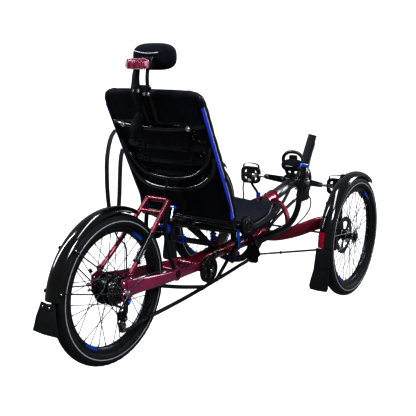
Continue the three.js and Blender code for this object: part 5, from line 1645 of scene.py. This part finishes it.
# ---------------------------------------------------------------- cables
def cables():
    """Housings between the controls, the frame and the changer; each is held at both ends."""
    changer = tube([at(-62, -190, 272), at(-78, -110, 288), at(-92, -20, 284), at(-104, 40, 258),
                    at(-98, 68, 226), at(-78, 54, 206)], 2.4, sides=10)
    along_stay = tube([at(-62, -190, 272), at(-64, -250, 264), at(-60, -330, 254), at(-48, -400, 248)], 2.4,
                      sides=10)
    brake = tube([at(24, -48, 432), at(30, -70, 402), at(22, -96, 372), at(30, -110, 320),
                  at(40, -120, 282)], 2.6, sides=10)
    lamp_wire = tube([at(62, -64, 356), at(50, -40, 330), at(54, -20, 306)], 1.8, sides=8)
    clips = [turned([(-4, 3), (-3, 4.2), (3, 4.2), (4, 3)], at(*p), Vector((0, 1, 0.2)).normalized(), 12)
             for p in ((-62, -190, 272), (-60, -330, 254))]
    piece("rear_cables", "swingarm", [changer, along_stay, brake, lamp_wire, *clips], CABLE)
    runs = []
    for side in (-1, 1):
        outer = [(side * 318, -716, 496), (side * 322, -776, 452), (side * 312, -790, 408),
                 (side * 284, -750, 356), (side * 226, -706, 314), (side * 150, -700, 270),
                 (side * 62, -722, 182), (side * 8, -722, 170)]
        inner = [(side * 306, -700, 500), (side * 304, -720, 436), (side * 276, -700, 372),
                 (side * 214, -690, 307), (side * 150, -690, 266), (side * 60, -712, 178),
                 (side * 8, -706, 166)]
        runs += [tube([at(*p) for p in outer], 2.6, sides=10), tube([at(*p) for p in inner], 2.2, sides=10)]
    piece("handlebar_cables", "handlebar", runs, CABLE)


cables()


# ---------------------------------------------------------------- seat
SLING_WIDE = 188
POCKET_DEEP = 96
POCKET_TOP = 868
SLING_LOW, SLING_HIGH = 418, 836
PIPING_ANGLE = {-1: 24, 1: 60}


def back_point(x, z, lift=0.0):
    """A point of the slung back: x across, z up, lift toward the rider."""
    share = min(1, abs(x) / SLING_WIDE)
    sag = 26 * max(0, sin((z - HINGE_Z) / 470 * pi))
    return at(x, back_y(z) - 2 + sag * (1 - share ** 2) - lift, z)


def back_panel(outline, thickness, lift=0.0):
    """A panel that follows the slung back: outline gives (z, half width left, half width right) rows."""
    rows = []
    for z, left, right in outline:
        rows.append([back_point(left + (right - left) * i / 12, z, lift) for i in range(13)])
    return sheet_of(rows, thickness, per=2)


def back_frame():
    side = [(405, 1), (440, 1), (480, 1), (640, 1), (820, 1), (862, 0.97), (866, 0.82)]
    right = [at(-SEAT_HALF_W * wide, back_y(z), z) for z, wide in side]
    loop = tube([*right, at(0, back_y(870), 870), *mirrored(right)], TUBE, sides=20)
    foot = turned([(-208, 9), (-207, 10), (207, 10), (208, 9)], at(0, HINGE_Y, HINGE_Z), sides=24)
    upper_bar = arch([(194, 766, 12, 768), (140, 766, 24, 758)], (750, 34, 750), 8)
    hoop = arch([(194, 660, 12, 660), (176, 600, 26, 600), (120, 552, 56, 552)], None, 8.5)
    upper_hoop = arch([(194, 700, 12, 700), (168, 640, 24, 640), (110, 590, 46, 590)], (570, 60, 572), 6.5)
    spine = tube([at(0, -298, 536), at(0, back_y(572) + 62, 572)], 6, sides=16)
    clamp = block((-32, back_y(866) - 2, 860), (32, -174, 880), 3)
    tab = plate([[(-320, 452), (-296, 452), (-292, 540), (-308, 540)]], 5, stand(7.5, 0, 0), 0.8)
    piece("seat_back_tubes", "seat_back", [loop, foot, upper_bar, hoop, upper_hoop, spine, clamp, tab],
          [POWDER, POWDER, GLOSS, GLOSS, GLOSS, POWDER, MATT, POWDER], stands_for=("seat_back_frame",))
    bolts = [bolt(at(x, -174, 870), Y_AXIS, 4.4) for x in (-26, -8)]
    bolts += [bolt(at(side * 140, back_y(766) + 32.5, 758), Y_AXIS, 6.5) for side in (-1, 1)]
    piece("seat_back_bolts", "seat_back", bolts, STEEL)


def arch(half, middle, radius):
    """A tube from one side tube to the other: half holds (x, height of the backrest line, behind it, z)."""
    right = [at(-x, back_y(line) + behind, z) for x, line, behind, z in half]
    if middle is None:
        centre = at(0, -300, 536)
    else:
        line, behind, z = middle
        centre = at(0, back_y(line) + behind, z)
    return tube([*right, centre, *mirrored(right)], radius, sides=18)


def back_mesh():
    rows = []
    for i in range(29):
        z = SLING_LOW + (SLING_HIGH - SLING_LOW) * i / 28
        half = SLING_WIDE if z < 800 else SLING_WIDE - 5 * (z - 800) / (SLING_HIGH - 800)
        rows.append([back_point(half * (j / 12 - 1), z) for j in range(25)])
    sling = piece("seat_back_mesh_sheet", "seat_back", [sheet_of(rows, 4, per=2)], MESH,
                  stands_for=("seat_back_mesh",))


def back_covers():
    """Knit sleeves round the side tubes, with their fabric wings, blue piping and silver thread."""
    sleeve_shapes, trim_shapes, silver_shapes = [], [], []
    for side in (-1, 1):
        core = [at(side * (SEAT_HALF_W - 1), back_y(z), z) for z in (432, 470, 520, 580, 640, 700, 760, 820)]
        core += [at(side * x, back_y(z), z) for x, z in ((198, 845), (190, 860), (170, 868), (150, 870))]
        sleeve_shapes.append(padded_tube(core, 13.5))
        wing = []
        for z in range(440, 850, 24):
            wrinkle = 1.3 * sin(z * 0.11 + side) + 0.8 * sin(z * 0.047)
            wing.append([at(side * (x + wrinkle * (198 - x) / 30), back_y(z) + 11 - 0.22 * (198 - x), z)
                         for x in (196, 190, 182, 174, 167)])
        sleeve_shapes.append(sheet_of(wing, 3.2, per=3))
        lean = radians(PIPING_ANGLE[side])
        facing_out = Vector((side * cos(lean), -sin(lean), 0))
        edge = [at(side * (199 + 14.4 * sin(lean)), back_y(z) + 14.4 * cos(lean), z)
                for z in (430, 470, 530, 600, 670, 740, 790, 828)]
        trim_shapes.append(band(edge, 9, 3.4, facing_out))
        lean = radians(PIPING_ANGLE[side] + 26)
        thread = [at(side * (199 + 14 * sin(lean)), back_y(z) + 14 * cos(lean), z)
                  for z in (436, 530, 640, 740, 790, 832)]
        silver_shapes.append(tube(thread, 1.2, sides=8))
    piece("seat_back_sleeves", "seat_back", sleeve_shapes, CLOTH)
    piece("seat_back_blue_piping", "seat_back", trim_shapes, PIPING)
    piece("seat_back_silver_thread", "seat_back", silver_shapes, SILVER_CORD)


def padded_tube(points, radius):
    """A soft sleeve: a tube whose thickness wanders a little, as gathered fabric does."""
    line = spline([p for p in points], 8)
    rings = []
    for i, (p, across, up) in enumerate(frames_along(line)):
        ring = []
        for k in range(24):
            t = tau * k / 24
            ripple = 0.5 * sin(i * 0.9 + 3 * t) + 0.45 * sin(i * 0.37 + t)
            ring.append(p + (across * cos(t) + up * sin(t)) * (radius + ripple) * MM)
        rings.append(ring)
    return skin(rings)


def crown():
    """The navy pocket that hangs over the top tube and down the back of the sling."""
    wrap_share, half, reach = 0.3, 186, 14.5
    rows = []
    for i in range(27):
        row = []
        over = min(i / 26 / wrap_share, 1)
        down = max(0, i / 26 - wrap_share) / (1 - wrap_share)
        for j in range(31):
            x = half * (j / 15 - 1)
            edge = abs(x) / half
            turn = pi * (1 - over)
            z = POCKET_TOP - 6 * edge ** 6 + reach * sin(turn) - POCKET_DEEP * down
            belly = 13 * down * (1 - edge ** 2) + 1.5 * sin(x * 0.06 + down * 5) * down
            row.append(at(x, back_y(min(z, 866)) + reach * cos(turn) + belly, z))
        rows.append(row)
    welt = [at(x, back_y(POCKET_TOP - POCKET_DEEP) + 16 + 13 * (1 - (x / half) ** 2),
               POCKET_TOP - POCKET_DEEP)
            for x in range(-184, 185, 23)]
    made = piece("seat_back_pocket", "seat_back", [sheet_of(rows, 3, per=2), band(welt, 9, 3, Z_AXIS)],
                 [NAVY, WEBBING])


def centre_pad():
    """The padded panel and its lumbar straps, buckles and ladder locks behind the mesh."""
    panel = back_panel([(752, -120, 100), (700, -124, 110), (660, -120, 112), (620, -110, 96),
                        (570, -96, 84)], 5, -6)
    skirt = back_panel([(560, -176, 176), (530, -178, 178), (490, -180, 180), (450, -182, 182),
                        (424, -183, 183)], 4, -5)
    piece("seat_back_dark_panels", "seat_back", [panel, skirt], [CLOTH, NAVY])
    straps, buckles = [], []
    for z, sag in ((690, 3), (640, 4), (596, 4)):
        line = [back_point(x, z - sag * (1 - (x / 180) ** 2), -9) for x in range(-180, 181, 20)]
        straps.append(band(line, 24, 1.8, Z_AXIS))
        for x in (-92, 92):
            buckles.append(buckle(back_point(x, z, -12)))
    middle = [back_point(0, z, -11) for z in (590, 560, 520, 480, 440)]
    straps.append(band(middle, 30, 2, X_AXIS))
    buckles.append(buckle(back_point(0, 560, -14), wide=40, tall=30))
    piece("seat_back_straps", "seat_back", straps, WEBBING)
    piece("seat_back_buckles", "seat_back", buckles, MATT)


def buckle(place, wide=30, tall=30):
    """A ladder lock: an outer frame with two slots and a raised bar."""
    half_w, half_t = wide / 2, tall / 2
    outer = [(-half_w, -half_t), (half_w, -half_t), (half_w, half_t), (-half_w, half_t)]
    slots = []
    for low in (-half_t + 4, 2.5):
        high = low + half_t - 6.5
        slots.append([(-half_w + 4, low), (half_w - 4, low), (half_w - 4, high), (-half_w + 4, high)])
    place_mm = (place.x / MM, (place.y - REAR_AXLE.y) / MM, place.z / MM)
    return plate([outer, *slots], 4, facing(*place_mm), 0.8)


RAIL = [(-431, 399, 192), (-500, 374, 192), (-590, 360, 188), (-720, 368, 175), (-836, 388, 152)]


def base_frame():
    rail = [at(-x, y, z) for y, z, x in RAIL] + [at(-110, -862, 391)]
    loop = tube([*rail, at(0, -868, 384), *mirrored(rail)], TUBE, sides=20)
    rear_half = [at(-190, -440, 394), at(-90, -446, 395)]
    rear_cross = tube([*rear_half, at(0, -448, 395), *mirrored(rear_half)], 8, sides=18)
    front_half = [at(-172, -738, 366), at(-100, -742, 336)]
    front_cross = tube([*front_half, at(0, -744, 309), *mirrored(front_half)], 8, sides=18)
    posts = [turned([(0, 8), (18, 8)], at(0, -446, 394), -Z_AXIS, 18)]
    piece("seat_base_tubes", "frame", [loop, rear_cross, front_cross, *posts], POWDER,
          stands_for=("seat_base_frame",))


def base_point(y, z, half, share, lift=0.0):
    return at(half * share, y, z + 3 - 8 * (1 - share ** 2) + lift)


BASE_ROWS = [(-462, 388, 180.5), (-500, 376, 180), (-540, 366, 178.5), (-590, 361.5, 176), (-640, 361, 172.5),
             (-690, 364.5, 166), (-740, 370, 159.5), (-794, 381, 141), (-846, 392, 118.5)]


def base_covers():
    rows = [[base_point(y, z, half, j / 14 - 1) for j in range(29)] for y, z, half in BASE_ROWS]
    # The base sling takes the pale copy of the mesh: painted light.
    sling = piece("seat_base_mesh_sheet", "frame", [sheet_of(rows, 4, per=2)], MESH_PAINTED_LIGHT,
                  stands_for=("seat_base_mesh",))
    cushion = [[base_point(y, z, half * 0.97, j / 10 - 1, 8 + 2 * cos(j * 0.9 + y * 0.05)) for j in range(21)]
               for y, z, half in BASE_ROWS[3:]]
    pad = piece("seat_base_pad", "frame", [sheet_of(cushion, 11, per=3)], NAVY)
    shapes = []
    for side in (-1, 1):
        core = [at(side * x, y, z) for y, z, x in RAIL]
        shapes.append(padded_tube([at(side * 192, -470, 384), *core[1:]], 12))
        flap = [[at(side * (x + 4), y, z - 8 - deep * j / 4) for j in range(5)]
                for (y, z, x), deep in zip(RAIL[1:4], (38, 3, 26))]
        shapes.append(sheet_of(flap, 3, per=3))
    piece("seat_base_sleeves", "frame", shapes, CLOTH)


FOLDS = 7


def side_roll():
    """The strap reel at the right hip: a flanged reel, its hub, and the webbing folded below it."""
    x, y, z = -217, -479, 392
    reel = turned([(-9, 12), (-9, 33), (-7.6, 35), (-5, 35.6), (-5, 29), (5, 29), (5, 35.6), (7.6, 35),
                   (9, 33), (9, 12)], at(x, y, z), sides=44, closed=True)
    hub = turned([(-11, 9), (-10.4, 12), (10, 12), (14, 10)], at(x, y, z), sides=24)
    clip = plate([window(17, 25, 40, 300, 16)], 3, stand(x - 9.4, y, z), 0.6)
    arm = block((x + 8, y - 10, z - 14), (x + 20, y + 10, z + 2), 3)
    piece("hip_reel", "frame", [reel, hub, clip, arm], [MATT, POWDER, GLOSS, MATT])
    folds = []
    for i in range(FOLDS):
        offset = -9 + 3 * i
        drop = 122 + 10 * (i % 3)
        line = [at(x + offset * 0.5, y + 6 - 4 * i, z - 24), at(x + offset, y - 8 - 7 * i, z - 60),
                at(x - offset, y - 20 - 9 * i, z - drop), at(x + 4, y - 36 - 6 * i, z - drop - 6),
                at(x + offset, y - 36 - 4 * i, z - 70), at(x + offset * 0.4, y - 10 - 3 * i, z - 26)]
        folds.append(band(line, 15, 1.8, X_AXIS))
    keeper = block((x - 13, y - 60, z - 76), (x + 13, y - 8, z - 64), 3)
    piece("hip_webbing_folds", "frame", [*folds, keeper], [WEBBING] * FOLDS + [MATT])
    clamp = band([at(-203, -446, 384), at(-209, -438, 366), at(-210, -440, 346), at(-206, -448, 330),
                  at(-199, -458, 318)], 11, 6, X_AXIS * 0.4 + Y_AXIS)
    piece("hip_blue_clamp", "frame", [clamp], BLUE)


def twisted_cloth():
    """The gathered end of the pocket's cover, twisted and tucked behind the upper bar."""
    line = spline([at(44, -212, 806), at(50, -214, 790), at(64, -222, 768), at(80, -224, 744),
                   at(92, -236, 718), at(98, -250, 700)], 8)
    rings = []
    for i, (p, across, up) in enumerate(frames_along(line)):
        share = i / (len(line) - 1)
        wide = 7 + 15 * sin(pi * min(1, share * 1.15)) ** 0.8
        ring = []
        for k in range(20):
            t = tau * k / 20 + 2.4 * share
            ring.append(p + (across * cos(t) * wide + up * sin(t) * (5 + 1.3 * sin(3 * t))) * MM)
        rings.append(ring)
    gathered = piece("pocket_cover_gathered", "seat_back", [skin(rings)], CLOTH)


side_roll()
twisted_cloth()
back_frame()
back_mesh()
back_covers()
crown()
centre_pad()
base_frame()
base_covers()


# ---------------------------------------------------------------- loose strap at the left side
def side_strap():
    """One webbing strap: up and over the side tube, down, round the bottom and back up to its anchor."""
    route = [(221, -284, 729), (223, -262, 705), (224, -240, 640), (224, -234, 560), (223, -236, 480),
             (222, -244, 430), (222, -264, 408), (222, -284, 424), (222, -294, 470), (222, -302, 560),
             (222, -310, 625), (221, -320, 656)]
    line = spline([at(*p) for p in route], 8)
    strap = piece("side_strap_webbing", "seat_back", [band(line, 20, 2, X_AXIS, per=1)], WEBBING,
                  stands_for=("side_strap",))


side_strap()


# ---------------------------------------------------------------- headrest
def headrest_posts():
    shafts = []
    for side in (-1, 1):
        x = side * 20
        shafts.append(tube([at(x, -226, 778), at(x, -178, 895), at(x, -176, 925), at(x, -184, 960),
                            at(x, -206, 985)], 6,
                           sides=18))
    plate_back = block((-22, -212, 952), (22, -205, 988), 3)
    arm = block((-8, -184, 958), (8, -172, 974), 2.4)
    cross = block((-24, -190, 958), (24, -180, 974), 2.4)
    collar = block((-30, -186, 884), (30, -168, 898), 3)
    wrap_strap = sheet_of([[at(22 + wide * (j / 3 - 1), y + 3 - 4 * (j / 3 - 1) ** 2, z) for j in range(7)]
                           for wide, y, z in ((12, -176, 956), (14, -168, 930), (16, -166, 905),
                                              (19, -164, 882), (16, -172, 850), (12, -188, 820))], 3, per=3)
    piece("headrest_posts_bent", "headrest", [*shafts, plate_back, arm, cross, collar, wrap_strap],
          [POWDER, POWDER, MATT, MATT, MATT, GLOSS, CLOTH], stands_for=("headrest_posts",))
    bolts = [bolt(at(x, -162, 880), Y_AXIS, 4.6) for x in (6, 26)]
    piece("headrest_bolts", "headrest", bolts, STEEL)


def headrest_pad():
    """A stuffed pad: the cloth is inflated over its block, then piped round the edge."""
    half_x, half_y, half_z = 88, 26, 44
    rings = []
    for i in range(41):
        t = -1 + 2 * i / 40
        keep = max((1 - abs(t) ** 3.4) ** 0.4, 0.12)
        ring = []
        for k in range(48):
            a = tau * k / 48
            bow = 1.4 * t ** 2
            y = HEADREST[1] + half_y * keep * bent(cos(a), 0.7) + bow
            ring.append(at(half_x * t, y, HEADREST[2] + half_z * keep * bent(sin(a), 0.7)))
        rings.append(ring)
    pad = piece("headrest_cushion", "headrest", [skin(rings)], NAVY, stands_for=("headrest_pad",))
    puff(pad)
    seam_places = [(87, -232, 31), (79, -217, 26), (62, -211.6, 19), (40, -210.6, 14), (14, -210.4, 11),
                   (-14, -210.4, 11), (-38, -210.8, 13)]
    seam = [at(x, y, HEADREST[2] + z) for x, y, z in seam_places]
    piece("headrest_piping", "headrest", [tube(seam, 1.5, sides=10)], SILVER_CORD)


PAD_VOXEL = 0.005
PAD_PRESSURE = 4
PAD_FRAMES = 20
PAD_MAY_MOVE = 0.0035


def puff(pad):
    """Settles a pad's cover with a short cloth run under pressure, then smooths it."""
    bpy.context.view_layer.objects.active = pad
    remesh = pad.modifiers.new("even", "REMESH")
    remesh.mode = "VOXEL"
    remesh.voxel_size = PAD_VOXEL
    bpy.ops.object.modifier_apply(modifier=remesh.name)
    start = [v.co.copy() for v in pad.data.vertices]
    cloth = pad.modifiers.new("cover", "CLOTH")
    cloth.settings.use_pressure = True
    cloth.settings.uniform_pressure_force = PAD_PRESSURE
    cloth.settings.effector_weights.gravity = 0
    cloth.point_cache.frame_start = 1
    cloth.point_cache.frame_end = PAD_FRAMES
    for number in range(1, PAD_FRAMES + 1):
        bpy.context.scene.frame_set(number)
    bpy.ops.object.modifier_apply(modifier=cloth.name)
    for vertex, before in zip(pad.data.vertices, start):
        moved = vertex.co - before
        if moved.length > PAD_MAY_MOVE:
            vertex.co = before + moved.normalized() * PAD_MAY_MOVE
    bpy.context.scene.frame_set(1)
    smooth = pad.modifiers.new("smooth", "SUBSURF")
    smooth.levels = smooth.render_levels = 1
    bpy.ops.object.modifier_apply(modifier=smooth.name)
    pad.data.shade_smooth()


def tail_light():
    """A wide lamp under the headrest: dark shell, crimson lens with facets, and pale windows at the ends and
    a pale rim, which are painted glints.
    """
    shell = block((-47, -171, 948), (47, -160, 984), 8)
    lens = block((-46, -161, 950), (46, -147, 982), 9)
    ribs = [block((-38 + 8 * i, -148, 955), (-33 + 8 * i, -144.6, 977), 1) for i in range(10)]
    # The end windows and the rim take the pale faceted colour: painted glints.
    windows = [block((side * 40 - 4, -148, 958), (side * 40 + 4, -144.4, 974), 1.2) for side in (-1, 1)]
    corners = [(-46, 958), (-46, 974), (-38, 982), (38, 982), (46, 974), (46, 958), (38, 950), (-38, 950)]
    rim = tube([at(x, -147.4, z) for x, z in corners], 1.2, sides=8, closed=True)
    piece("tail_light_lamp", "headrest", [shell, lens, *ribs, *windows, rim],
          [MATT, LAMP] + [LAMP] * 10 + [LAMP_GLINT_PAINT] * 3, stands_for=("tail_light",))


headrest_posts()
headrest_pad()
tail_light()


# ---------------------------------------------------------------- studio
SKY_LIGHT = 0.19
LAMP_COLOUR = (0.9, 0.94, 1.0)
FLOOR_GREY, FLOOR_GLOW, FLOOR_REACH = 0.25, 0.86, 40
CAMERA_PLACE = (-1.4685, 2.14215, 0.9964)
CAMERA_AIM = Vector((0.55087, -0.81031, -0.19986))
FILM_WIDTH, LENS_LENGTH, LENS_SHIFT = 36, 59.75, (-0.0105, -0.0311)


def softbox(name, place, aim, size, power):
    lamp = bpy.data.lights.new(name, "AREA")
    lamp.shape = "RECTANGLE"
    lamp.size, lamp.size_y = size
    lamp.energy = power
    lamp.color = LAMP_COLOUR
    holder = bpy.data.objects.new(name, lamp)
    holder.location = place
    holder.rotation_euler = (Vector(aim) - Vector(place)).to_track_quat("-Z", "Y").to_euler()
    bpy.context.scene.collection.objects.link(holder)


def studio():
    """A plain white surround that lights the trike gently, with soft lamps for the highlights."""
    world = bpy.data.worlds.new("studio_sky")
    world.use_nodes = True
    nodes, links = world.node_tree.nodes, world.node_tree.links
    sky = nodes["Background"].inputs
    sky["Color"].default_value = (1.0, 1.0, 1.0, 1)
    seen = nodes.new("ShaderNodeLightPath").outputs["Is Camera Ray"]
    strength = nodes.new("ShaderNodeMapRange")
    strength.inputs["To Min"].default_value = SKY_LIGHT
    strength.inputs["To Max"].default_value = 1.0
    links.new(seen, strength.inputs["Value"])
    links.new(strength.outputs["Result"], sky["Strength"])
    bpy.context.scene.world = world
    softbox("key", (-2.4, 1.6, 2.6), (0, 0, 0.4), (0.9, 0.9), 60)
    softbox("rim_strip", (2.2, 1.4, 2.2), (0, 0, 0.5), (0.3, 2.4), 45)
    softbox("front", (-1.8, -2.6, 1.8), (0, -0.4, 0.4), (0.6, 2.0), 40)
    softbox("top_strip", (-0.2, 0.3, 3.0), (0, 0.1, 0.4), (0.4, 2.6), 35)
    bpy.context.scene.view_settings.view_transform = "Standard"
    bpy.context.scene.view_settings.look = "High Contrast"


def floor():
    """A plain pale floor. Its bounce is left out, so the underside keeps the light of the surround."""
    pale = bpy.data.materials.new("floor_pale")
    pale.use_nodes = True
    surface = pale.node_tree.nodes["Principled BSDF"].inputs
    surface["Base Color"].default_value = (FLOOR_GREY, FLOOR_GREY, FLOOR_GREY, 1)
    surface["Roughness"].default_value = 0.95
    surface["Specular IOR Level"].default_value = 0
    surface["Emission Color"].default_value = (1, 1, 1, 1)
    surface["Emission Strength"].default_value = FLOOR_GLOW
    mesh = bpy.data.meshes.new("floor")
    far = FLOOR_REACH
    mesh.from_pydata([(-far, -far, 0), (far, -far, 0), (far, far, 0), (-far, far, 0)], [], [(0, 1, 2, 3)])
    mesh.materials.append(pale)
    ground = bpy.data.objects.new("floor", mesh)
    ground.visible_diffuse = False
    ground.visible_glossy = False
    ground.visible_shadow = False
    bpy.context.scene.collection.objects.link(ground)


def camera():
    """Behind the trike and to its right, a metre above the floor, looking slightly down."""
    lens = bpy.data.cameras.new("camera")
    lens.sensor_width = FILM_WIDTH
    lens.lens = LENS_LENGTH
    lens.shift_x, lens.shift_y = LENS_SHIFT
    holder = bpy.data.objects.new("camera", lens)
    holder.location = CAMERA_PLACE
    holder.rotation_euler = CAMERA_AIM.to_track_quat("-Z", "Y").to_euler()
    bpy.context.scene.collection.objects.link(holder)
    bpy.context.scene.camera = holder


studio()
floor()
camera()
